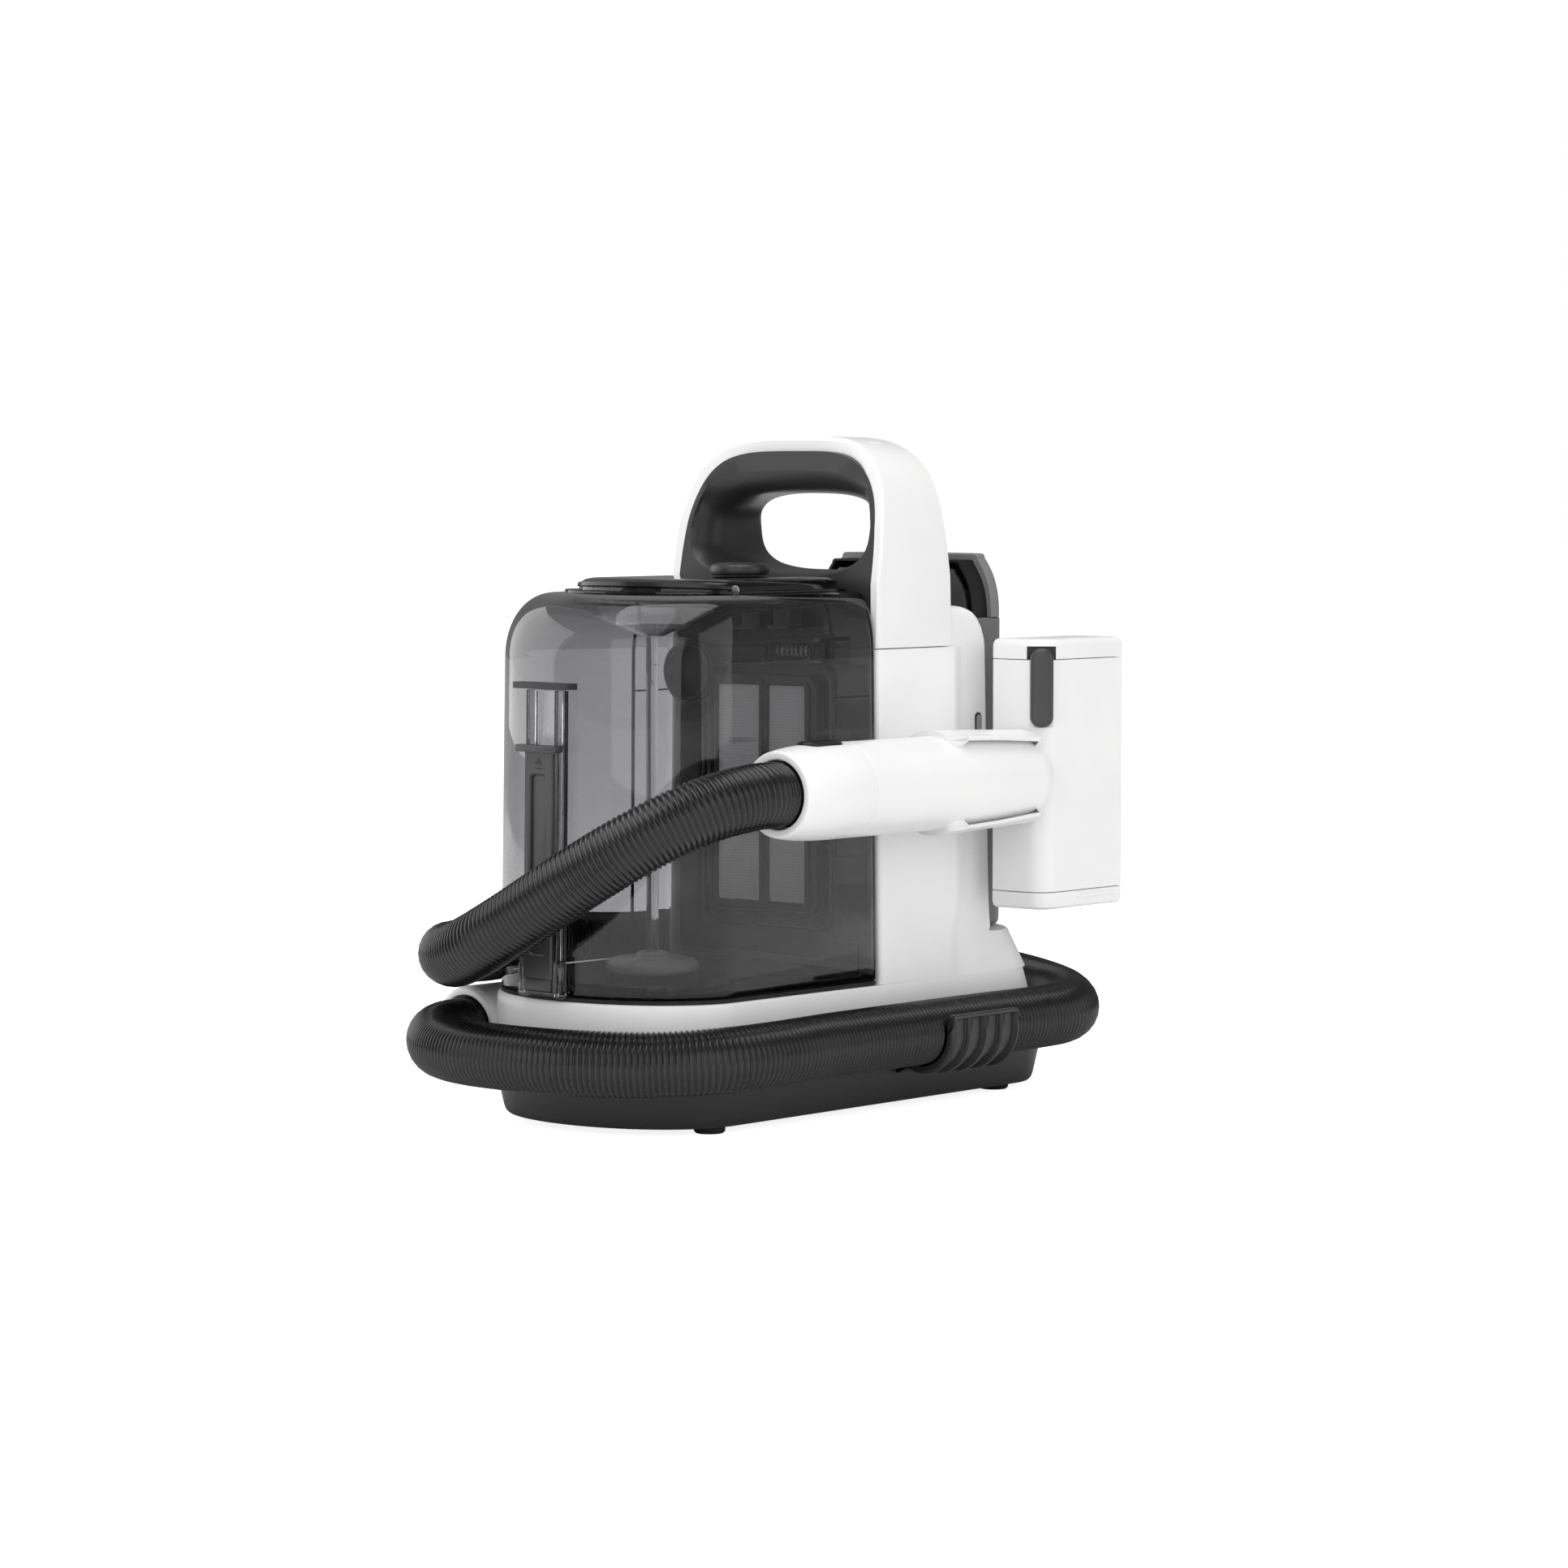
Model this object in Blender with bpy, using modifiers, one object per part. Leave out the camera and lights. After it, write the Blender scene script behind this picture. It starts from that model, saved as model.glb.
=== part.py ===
"""Portable spot extractor for carpets and upholstery, as an assembly of separate pieces.

X runs to the machine's right, Y to its back and Z up. Dimensions below are millimetres about the
tower's front plane (Y = 0) and the symmetry plane (X = 0). One empty shifts the whole object so
that the world origin is at the centre of its bottom.
"""
import math

import bmesh
import bpy
import numpy as np
from mathutils import Matrix, Vector

MM = 0.001
GAP = 0.35                       # clearance between pieces that touch
ORIGIN = (1.05, 0.3, 0.0)          # middle of the footprint, measured in the frame above

# base
WALL = 2.5
FOOT_R, FOOT_H = 7.5, 3.0
FEET = {"foot_front_right": (55.5, -110), "foot_front_left": (-55.5, -110),
        "foot_rear_right": (53, 109), "foot_rear_left": (-53, 109)}
PLINTH_Z = (FOOT_H + GAP, 25.5)
PLINTH_LOW = dict(half=67.7, front=-154.5, rear=155.5, front_depth=48.5, rear_depth=45)
GLAND_R, GLAND_Z = 5.0, 14.0
PLINTH_TOP = dict(half=71.8, front=-158.6, rear=159.0, front_depth=50, rear_depth=46)
DECK_Z = 62.3
HUMP_Z = 82.0

# tower, rear column and handle
TOWER_HALF_LOW, TOWER_HALF_TOP = 69.0, 67.0
TOWER_DEPTH_LOW, TOWER_DEPTH_TOP = 60.0, 58.0
SEAM_Z = 225.2
COLUMN_HALF, COLUMN_REAR, COLUMN_TOP = 63.5, 91.5, 245.0
ARCH_HALF, ARCH_BASE_Z, ARCH_TOP_Z, ARCH_POWER = 67.6, 240.0, 328.5, 2.8
ARCH_BAND = 5.0
FRONT_LEAN = ((225, 0), (258, 0), (288, 4.7), (302, 8), (317, 11), (323, 14), (328.5, 18))
REAR_LEAN = ((225, 58), (260, 54), (277, 49.5), (298, 46.5), (312, 44), (328.5, 39))
HOLE_HALF, HOLE_LOW, HOLE_HIGH = 49.5, 263.5, 300.5

# dirty-water tank
TANK_Z = (64.4, 253.3)
TANK_WALL = 2.4
TANK_REAR = -0.8
TANK_LOW = dict(half=69.0, front=-156.2, front_depth=49.5)
SHOULDER_Z, SHOULDER_HALF, SHOULDER_FRONT, SHOULDER_POWER = 221.0, 67.6, -154.0, 2.15
SHOULDER_SIDE_INSET, SHOULDER_FRONT_INSET, SHOULDER_DEPTH_LOSS = 12.0, 30.0, 13.0
MOUTH = dict(half=45.0, front=-107.0, rear=TANK_REAR - 7, front_depth=29, corner=6)
FLANGE = dict(half=53.0, front=-118.0, rear=TANK_REAR - 1.2, front_depth=34, corner=8)
DOME = dict(half=49.0, front=-110.5, rear=TANK_REAR - 2.2, front_depth=32, corner=8)
LID_WALL = 1.5
PORT_AT, PORT_BORE, PORT_RIM = (-46.0, 213.0), 10.0, 17.2
FLOAT_AXIS = (-8.0, -80.0)
SLIDER_AT, SLIDER_TURN, SLIDER_TILT = (-6.7, -156.0, 64.4), math.radians(-4.0), math.radians(-0.80)

# clean-water tank
CLEAN_HALF, CLEAN_FRONT, CLEAN_REAR = 55.0, 92.3, 132.0
CLEAN_Z = (HUMP_Z + 0.8, 238.0)
HOOD_TOP, HOOD_WALL = 270.0, 4.5
VALVE_Y, VALVE_R = 112.0, 4.6

# wand, its bracket and the cleaning head
WAND_X, WAND_Z, WAND_R = 95.0, 161.3, 22.8
WAND_FRONT, WAND_SPLIT, DOME_Y, DOME_R = -107.7, -60.0, 66.0, 22.2
BRACKET_Y = (4.0, 75.0)
HEAD_X, HEAD_Y, HEAD_Z = (75.0, 107.0), (80.0, 144.0), (95.0, 228.0)
HEAD_LID_Z, HEAD_FOOT_Z = 217.7, 103.3
HEAD_CORNERS = (7.0, 10.0, 7.0, 7.0)
ROLLER_AT, ROLLER_R, MOTOR_AT, PULLEY_R = (91.0, 134.0), 11.5, (91.0, 102.0), 5.6

# hose and what holds it
HOSE_D = 31.5
HOSE_END_Y = -96.0
HOSE_ROUTE = (
    (95, HOSE_END_Y, 161.3), (95, -111, 161.3), (95, -125, 160.9), (90, -145, 157.3), (78, -162, 149.2),
    (60, -176, 137), (35, -186, 120.6), (10, -190, 105.4), (-15, -190, 92.5), (-40, -181, 84),
    (-58, -168, 82), (-72, -152, 80), (-84, -134, 79), (-91, -112, 77.5), (-94.5, -90, 77.2),
    (-95, -60, 76), (-95, -30, 73.6), (-95, 0, 72), (-95, 34, 72), (-95, 66, 71.6), (-92, 90, 68),
    (-84, 116, 62.5), (-68, 142, 57), (-40, 165, 51.5), (0, 180, 47), (40, 172, 43), (68, 151, 41),
    (86, 123.5, 40), (89, 95, 39.7), (88, 60, 39.7), (88, 20, 39.7), (88, -20, 39.6), (88, -60, 39.4),
    (89.2, -100, 39), (82.5, -134, 38.2), (60, -158, 36.8), (30, -175, 36.9), (0, -180, 36.9),
    (-34, -178, 36.8), (-62, -168, 36.8), (-81, -153.5, 37.5), (-90, -142, 38.6), (-93, -130.5, 39),
    (-93, -109.35, 39),
)
HOSE_STEP = 18.5
PORT_X, PORT_Z, PORT_Y = -93.0, 39.0, (-123.0, -86.0)
CLIP_Y = (8.0, 60.0)
CLIP_RIGHT, CLIP_LEFT = (88.0, 39.7), (95.0, 72.0)

# inner works
FAN_AXIS = (0.0, 46.0)
MOTOR_Z, FAN_Z = (96.0, 152.0), (153.0, 184.0)


# ---------------------------------------------------------------- scene and helpers

for old in list(bpy.data.objects):
    bpy.data.objects.remove(old, do_unlink=True)

parts = bpy.data.collections.new("spot_extractor")
cutters = bpy.data.collections.new("cutters")
bpy.context.scene.collection.children.link(parts)
bpy.context.scene.collection.children.link(cutters)

frame_empty = bpy.data.objects.new("machine_frame", None)
frame_empty.location = Vector(ORIGIN) * -MM
parts.objects.link(frame_empty)

FINISHES = {
    "white": ((0.83, 0.83, 0.83), 0.38, 0.0),
    "dark": ((0.055, 0.055, 0.057), 0.45, 0.0),
    "rubber": ((0.02, 0.02, 0.02), 0.8, 0.0),
    "smoke": ((0.12, 0.12, 0.13), 0.12, 0.0),
    "screen": ((0.45, 0.45, 0.46), 0.6, 0.0),
    "metal": ((0.55, 0.55, 0.56), 0.3, 1.0),
    "board": ((0.03, 0.12, 0.06), 0.5, 0.0),
}


def finish(obj, kind):
    """Give a piece its own Principled material."""
    colour, roughness, metallic = FINISHES[kind]
    material = bpy.data.materials.new(obj.name + "_" + kind)
    material.use_nodes = True
    shader = material.node_tree.nodes["Principled BSDF"]
    shader.inputs["Base Color"].default_value = (*colour, 1.0)
    shader.inputs["Roughness"].default_value = roughness
    shader.inputs["Metallic"].default_value = metallic
    obj.data.materials.clear()
    obj.data.materials.append(material)


def add_piece(name, mesh, kind, at=(0, 0, 0), smooth=True):
    """Link a mesh as a piece of the machine, with its origin at a point in millimetres."""
    if smooth:
        mesh.shade_smooth()
        mesh.set_sharp_from_angle(angle=math.radians(35))
    obj = bpy.data.objects.new(name, mesh)
    obj.location = Vector(at) * MM
    obj.parent = frame_empty
    parts.objects.link(obj)
    finish(obj, kind)
    return obj


def add_cutter(name, mesh, at=(0, 0, 0)):
    """Link a mesh as a hidden cutting shape."""
    obj = bpy.data.objects.new(name, mesh)
    obj.location = Vector(at) * MM
    obj.parent = frame_empty
    obj.hide_render = True
    obj.display_type = "WIRE"
    cutters.objects.link(obj)
    return obj


def cut(obj, cutter, operation="DIFFERENCE"):
    """Boolean one shape with another."""
    modifier = obj.modifiers.new(cutter.name, "BOOLEAN")
    modifier.operation = operation
    modifier.solver = "EXACT"
    modifier.object = cutter


def bevel(obj, width, segments=2, angle=35):
    """Round the sharp edges of a piece."""
    modifier = obj.modifiers.new("round", "BEVEL")
    modifier.width = width * MM
    modifier.segments = segments
    modifier.limit_method = "ANGLE"
    modifier.angle_limit = math.radians(angle)


def wall(obj, thickness, outward=False):
    """Give an open surface its wall thickness."""
    modifier = obj.modifiers.new("wall", "SOLIDIFY")
    modifier.thickness = thickness * MM
    modifier.offset = 1 if outward else -1
    modifier.use_even_offset = True


def mesh_from(bm, name):
    """Scale a millimetre bmesh to metres and turn it into a mesh with outward faces."""
    bmesh.ops.recalc_face_normals(bm, faces=bm.faces)
    bmesh.ops.scale(bm, vec=(MM, MM, MM), verts=bm.verts)
    mesh = bpy.data.meshes.new(name)
    bm.to_mesh(mesh)
    bm.free()
    return mesh


def loft_mesh(name, rings, caps=(True, True), loop=False):
    """Bridge rings of equally many points; the ends are capped, open, or joined in a loop."""
    bm = bmesh.new()
    rows = [[bm.verts.new(point) for point in ring] for ring in rings]
    count = len(rows[0])
    pairs = list(zip(rows, rows[1:])) + ([(rows[-1], rows[0])] if loop else [])
    for low, high in pairs:
        for i in range(count):
            j = (i + 1) % count
            bm.faces.new((low[i], low[j], high[j], high[i]))
    if caps[0] and not loop:
        bm.faces.new(rows[0][::-1])
    if caps[1] and not loop:
        bm.faces.new(rows[-1])
    return mesh_from(bm, name)


def box_mesh(name, low, high):
    """A block between two corners."""
    bm = bmesh.new()
    bmesh.ops.create_cube(bm, size=1)
    size = [b - a for a, b in zip(low, high)]
    middle = [(a + b) / 2 for a, b in zip(low, high)]
    bmesh.ops.scale(bm, vec=size, verts=bm.verts)
    bmesh.ops.translate(bm, vec=middle, verts=bm.verts)
    return mesh_from(bm, name)


def rod_mesh(name, radius, start, end, segments=24, end_radius=None):
    """A round bar or cone between two points."""
    start, end = Vector(start), Vector(end)
    bm = bmesh.new()
    bmesh.ops.create_cone(bm, cap_ends=True, segments=segments, radius1=radius,
                          radius2=radius if end_radius is None else end_radius,
                          depth=(end - start).length)
    turn = (end - start).to_track_quat("Z", "Y").to_matrix().to_4x4()
    bmesh.ops.transform(bm, matrix=Matrix.Translation((start + end) / 2) @ turn, verts=bm.verts)
    return mesh_from(bm, name)


def turned(name, profile, kind, at, steps=32, cutter=False):
    """Turn a profile of (radius, height) pairs, listed down its outer side, about an upright axis.

    A profile that ends where it starts makes a ring.
    """
    mesh = bpy.data.meshes.new(name)
    ring = profile[0] == profile[-1]
    points = [(radius * MM, 0, height * MM) for radius, height in (profile[:-1] if ring else profile)]
    edges = [(i, i + 1) for i in range(len(points) - 1)] + ([(len(points) - 1, 0)] if ring else [])
    mesh.from_pydata(points, edges, [])
    obj = add_cutter(name, mesh, at) if cutter else add_piece(name, mesh, kind, at)
    screw = obj.modifiers.new("turn", "SCREW")
    screw.steps = screw.render_steps = steps
    screw.use_merge_vertices = True
    screw.merge_threshold = 0.00001
    screw.use_smooth_shade = True
    return obj


def curve_mesh(name, curve):
    """Turn a curve into a welded mesh."""
    source = bpy.data.objects.new(name + "_curve", curve)
    bpy.context.scene.collection.objects.link(source)
    view = bpy.context.evaluated_depsgraph_get()
    mesh = bpy.data.meshes.new_from_object(source.evaluated_get(view))
    bpy.data.objects.remove(source, do_unlink=True)
    bm = bmesh.new()
    bm.from_mesh(mesh)
    bmesh.ops.remove_doubles(bm, verts=bm.verts, dist=0.00001)
    bmesh.ops.recalc_face_normals(bm, faces=bm.faces)
    bm.to_mesh(mesh)
    bm.free()
    mesh.name = name
    return mesh


def plate_mesh(name, outlines, low, high, facing="Z"):
    """Extrude closed outlines (the first outer, the rest holes) between two levels on an axis."""
    curve = bpy.data.curves.new(name, "CURVE")
    curve.dimensions = "2D"
    curve.fill_mode = "BOTH"
    curve.extrude = (high - low) / 2 * MM
    for outline in outlines:
        spline = curve.splines.new("POLY")
        spline.points.add(len(outline) - 1)
        for point, (u, v) in zip(spline.points, outline):
            point.co = (u * MM, v * MM, 0, 1)
        spline.use_cyclic_u = True
    mesh = curve_mesh(name, curve)
    middle = (low + high) / 2 * MM
    turn = {"Z": Matrix.Identity(4),
            "Y": Matrix.Rotation(math.radians(90), 4, "X"),
            "X": Matrix.Rotation(math.radians(90), 4, "Z") @ Matrix.Rotation(math.radians(90), 4, "X")}
    shift = {"Z": (0, 0, middle), "Y": (0, middle, 0), "X": (middle, 0, 0)}
    mesh.transform(Matrix.Translation(shift[facing]) @ turn[facing])
    bm = bmesh.new()
    bm.from_mesh(mesh)
    bmesh.ops.recalc_face_normals(bm, faces=bm.faces)
    bm.to_mesh(mesh)
    bm.free()
    return mesh


def wire_mesh(name, points, radius, resolution=2):
    """A round bar along a path of points."""
    curve = bpy.data.curves.new(name, "CURVE")
    curve.dimensions = "3D"
    curve.bevel_depth = radius * MM
    curve.bevel_resolution = resolution
    curve.use_fill_caps = True
    spline = curve.splines.new("POLY")
    spline.points.add(len(points) - 1)
    for point, place in zip(spline.points, points):
        point.co = (*[value * MM for value in place], 1)
    return curve_mesh(name, curve)


def smooth_path(route, step):
    """Points about one step apart on a Catmull-Rom curve through the route's points."""
    knots = np.array(route, float)
    ends = np.vstack([2 * knots[0] - knots[1], knots, 2 * knots[-1] - knots[-2]])
    t = np.linspace(0, 1, 12, endpoint=False)[:, None]
    spans = []
    for a, b, c, d in zip(ends, ends[1:], ends[2:], ends[3:]):
        spans.append(0.5 * (2 * b + (c - a) * t + (2 * a - 5 * b + 4 * c - d) * t ** 2
                            + (3 * b - a - 3 * c + d) * t ** 3))
    dense = np.vstack(spans + [knots[-1:]])
    along = np.r_[0, np.cumsum(np.linalg.norm(np.diff(dense, axis=0), axis=1))]
    marks = np.linspace(0, along[-1], int(round(along[-1] / step)) + 1)
    return np.column_stack([np.interp(marks, along, dense[:, k]) for k in range(3)])


def arc(centre, radius, start, end, count):
    """Points on an arc, angles in degrees."""
    angles = np.radians(np.linspace(start, end, count))
    return [(centre[0] + radius * math.cos(a), centre[1] + radius * math.sin(a)) for a in angles]


def round_box(low, high, radii, count=4):
    """A rectangle with rounded corners, from its right front corner and counter-clockwise."""
    (x0, y0), (x1, y1) = low, high
    corners = ((x0, y0, 180, 1, 1), (x1, y0, 270, -1, 1), (x1, y1, 0, -1, -1), (x0, y1, 90, 1, -1))
    outline = []
    for (x, y, start, sx, sy), radius in zip(corners, radii):
        outline += arc((x + sx * radius, y + sy * radius), radius, start, start + 90, count)
    return outline


def oval_ended(half, front, rear, front_depth, rear_depth, inset=0.0, count=17):
    """Straight sides with half an ellipse at the front and at the rear."""
    half, front, rear = half - inset, front + inset, rear - inset
    front_depth, rear_depth = front_depth - inset, rear_depth - inset
    angles = np.linspace(0, math.pi, count)
    outline = [(-half * math.cos(a), front + front_depth * (1 - math.sin(a))) for a in angles]
    outline += [(half * math.cos(a), rear - rear_depth * (1 - math.sin(a))) for a in angles]
    return outline


def d_shape(half, front, rear, front_depth, corner, inset=0.0, count=25, corner_count=4):
    """Half an ellipse at the front, straight sides and a flat back with small round corners."""
    half, front, rear = half - inset, front + inset, rear - inset
    front_depth, corner = front_depth - inset, max(corner - inset, 1.0)
    angles = np.linspace(0, math.pi, count)
    outline = [(-half * math.cos(a), front + front_depth * (1 - math.sin(a))) for a in angles]
    outline += arc((half - corner, rear - corner), corner, 0, 90, corner_count)
    outline += arc((corner - half, rear - corner), corner, 90, 180, corner_count)
    return outline


def back_d(half, front, rear, depth, inset=0.0, count=15):
    """Flat front with small corners and half an ellipse at the back."""
    half, front, rear, depth = half - inset, front + inset, rear - inset, depth - inset
    angles = np.linspace(0, math.pi, count)
    outline = arc((3 - half, front + 3), 3, 180, 270, 3) + arc((half - 3, front + 3), 3, 270, 360, 3)
    outline += [(half * math.cos(a), rear - depth * (1 - math.sin(a))) for a in angles]
    return outline


def at_height(outline, z):
    """Lift a flat outline to a height."""
    return [(x, y, z) for x, y in outline]


def lean(table, z):
    """Interpolate one of the handle's side lines."""
    return float(np.interp(z, [row[0] for row in table], [row[1] for row in table]))


def oval(half_x, z_low, z_high, power, angle):
    """A point on a superellipse in the front view."""
    c, s = math.cos(angle), math.sin(angle)
    x = half_x * math.copysign(abs(c) ** (2 / power), c)
    z = (z_low + z_high) / 2 + (z_high - z_low) / 2 * math.copysign(abs(s) ** (2 / power), s)
    return x, z


# ---------------------------------------------------------------- base

def make_base():
    """Dark plinth tray on rubber feet, with the screws that close it."""
    low = oval_ended(**PLINTH_LOW)
    high = oval_ended(**PLINTH_TOP)
    foot_line = oval_ended(**PLINTH_LOW, inset=3)
    rings = [at_height(foot_line, PLINTH_Z[0]), at_height(low, PLINTH_Z[0] + 3),
             at_height(high, PLINTH_Z[1])]
    plinth = add_piece("base_plinth", loft_mesh("base_plinth", rings, caps=(True, False)), "dark")
    wall(plinth, WALL)
    hole = rod_mesh("gland_hole", GLAND_R + GAP, (0, 140, GLAND_Z), (0, 175, GLAND_Z))
    cut(plinth, add_cutter("gland_hole", hole))

    for name, (x, y) in FEET.items():
        profile = [(0, FOOT_H), (FOOT_R, FOOT_H), (FOOT_R, 1), (FOOT_R - 1, 0), (0, 0)]
        turned(name, profile, "rubber", (x, y, 0), steps=20)
    z = PLINTH_Z[0] + WALL + GAP
    profile = [(0, z + 16), (1.6, z + 16), (1.6, z + 2), (4, z + 2), (4, z), (0, z)]
    turned("plinth_screw", profile, "metal", (0, -128, 0), steps=12)
    profile = [(2.6, 150), (GLAND_R, 150), (GLAND_R, 158.8), (8, 158.8), (8, 161), (4.4, 164.5),
               (2.6, 164.5),
               (2.6, 150)]
    turned_y("power_cable_gland", profile, "rubber", (0, 0, GLAND_Z), steps=16)


def make_main_housing():
    """White moulding: base skirt, tower and rear column in one shell, open below and above."""
    def skirt(inset, z_low, z_top):
        rows = ((26.35, 71.6, -158.6, 158.2), (34, 70.9, -158.4, 155), (50, 70.6, -158.2, 149.5),
                (z_top, 70.4, -157.8, 145))
        rings = []
        for z, half, front, rear in rows:
            z = z_low if z == rows[0][0] else z
            rings.append(at_height(oval_ended(half, front, rear, 50, 45, inset=inset), z))
        if not inset:
            rings[-1] = [(x, y, DECK_Z - 1.5) for x, y, z in rings[-1]]
            rings.append(at_height(oval_ended(70.4, -157.8, 145, 50, 45, inset=1.2), DECK_Z))
        return rings

    def tower(inset, z_low, z_high):
        rings = []
        for z, half, depth in ((z_low, TOWER_HALF_LOW, TOWER_DEPTH_LOW),
                               (z_high, TOWER_HALF_TOP, TOWER_DEPTH_TOP)):
            outline = round_box((inset - half, inset), (half - inset, depth - inset),
                                [max(r - inset, 0.8) for r in (3, 3, 9, 9)])
            rings.append(at_height(outline, z))
        return rings

    def column(inset, z_low, stepped=False):
        """Side view of the rear column with its rounded top corner, and its step behind the handle."""
        rear, top, radius = COLUMN_REAR - inset, COLUMN_TOP - inset, 22 - inset
        front, behind_handle = 44 + inset, REAR_LEAN[0][1] + 0.8 + inset
        outline = [(front, z_low), (rear, z_low)]
        outline += arc((rear - radius, top - radius), radius, 0, 90, 7)
        if stepped:
            step = SEAM_Z - inset
            return outline + [(behind_handle, top), (behind_handle, step), (front, step)]
        return outline + [(front, top)]

    def hump(inset, z_low, z_top):
        rows = ((z_low, 66.0, 138.0), (62, 65, 143.2), (72, 62.5, 140), (z_top - 2, 60.5, 136.5),
                (z_top, 58.5, 134.5))
        return [at_height(back_d(half, 40, rear, 42, inset=inset), z) for z, half, rear in rows]

    housing = add_piece("main_housing",
                        loft_mesh("main_housing", skirt(0, 26.35, DECK_Z)), "white")
    cut(housing, add_cutter("tower_block", loft_mesh("tower_block", tower(0, 50, SEAM_Z))), "UNION")
    block = add_cutter("column_block", plate_mesh("column_block", [column(0, 55)], -COLUMN_HALF,
                                                  COLUMN_HALF, "X"))
    bevel(block, 5, 2, angle=60)
    handle_space = box_mesh("handle_space", (-90, -9, SEAM_Z), (90, REAR_LEAN[0][1] + 0.8, 290))
    cut(block, add_cutter("handle_space", handle_space))
    cut(housing, block, "UNION")
    cut(housing, add_cutter("hump_block", loft_mesh("hump_block", hump(0, 48, HUMP_Z))), "UNION")
    hollow = WALL
    cut(housing, add_cutter("skirt_hollow", loft_mesh("skirt_hollow", skirt(hollow, 20, DECK_Z - hollow))))
    cut(housing, add_cutter("tower_hollow", loft_mesh("tower_hollow", tower(hollow, 45, SEAM_Z + 9))))
    cut(housing, add_cutter("column_hollow", plate_mesh("column_hollow", [column(hollow, 52, True)],
                                                        hollow - COLUMN_HALF, COLUMN_HALF - hollow, "X")))
    cut(housing, add_cutter("hump_hollow", loft_mesh("hump_hollow", hump(hollow, 44, HUMP_Z - hollow))))
    cut(housing, add_cutter("front_window", box_mesh("front_window", (-61, -4, 70), (61, 6, 218))))
    slot = arc((71, 188), 2, 0, 180, 6) + arc((71, 180), 2, 180, 360, 6)
    cut(housing, add_cutter("vent_slot", plate_mesh("vent_slot", [slot], 55, 72, "X")))
    cut(housing, add_cutter("exhaust_opening", box_mesh("exhaust_opening", (-75, 16, 100), (-60, 46, 140))))
    valve_hole = rod_mesh("valve_hole", VALVE_R + 0.6, (0, VALVE_Y, 70), (0, VALVE_Y, 90))
    cut(housing, add_cutter("valve_hole", valve_hole))
    port_hole = add_cutter("port_hole", rod_mesh("port_hole", PORT_BORE, (PORT_AT[0], -12, PORT_AT[1]),
                                                 (PORT_AT[0], 8, PORT_AT[1])))
    cut(housing, port_hole)

    panel = round_box((-60.6, 70.4), (60.6, 217.6), (1.5,) * 4, 3)
    plate = add_piece("front_panel", plate_mesh("front_panel", [panel], 0.2, 2.3, "Y"), "dark")
    cut(plate, port_hole)

    grille = round_box((16.4, 100.4), (45.6, 139.6), (1,) * 4, 2)
    slots = [round_box((19, z), (43, z + 3.4), (1.5,) * 4, 3) for z in np.arange(103.5, 135, 6.2)]
    add_piece("exhaust_grille", plate_mesh("exhaust_grille", [grille] + slots, -67.6, -66.0, "X"), "dark")


# ---------------------------------------------------------------- handle

def arch_point(angle, inset):
    """A point of the arch outline; angle runs from the right foot (0) over the top to the left."""
    half, rise = ARCH_HALF - inset, ARCH_TOP_Z - ARCH_BASE_Z - inset
    c, s = math.cos(angle), math.sin(angle)
    reach = ((abs(c) / half) ** ARCH_POWER + (s / rise) ** ARCH_POWER) ** (-1 / ARCH_POWER)
    return reach * c, ARCH_BASE_Z + reach * s


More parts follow.
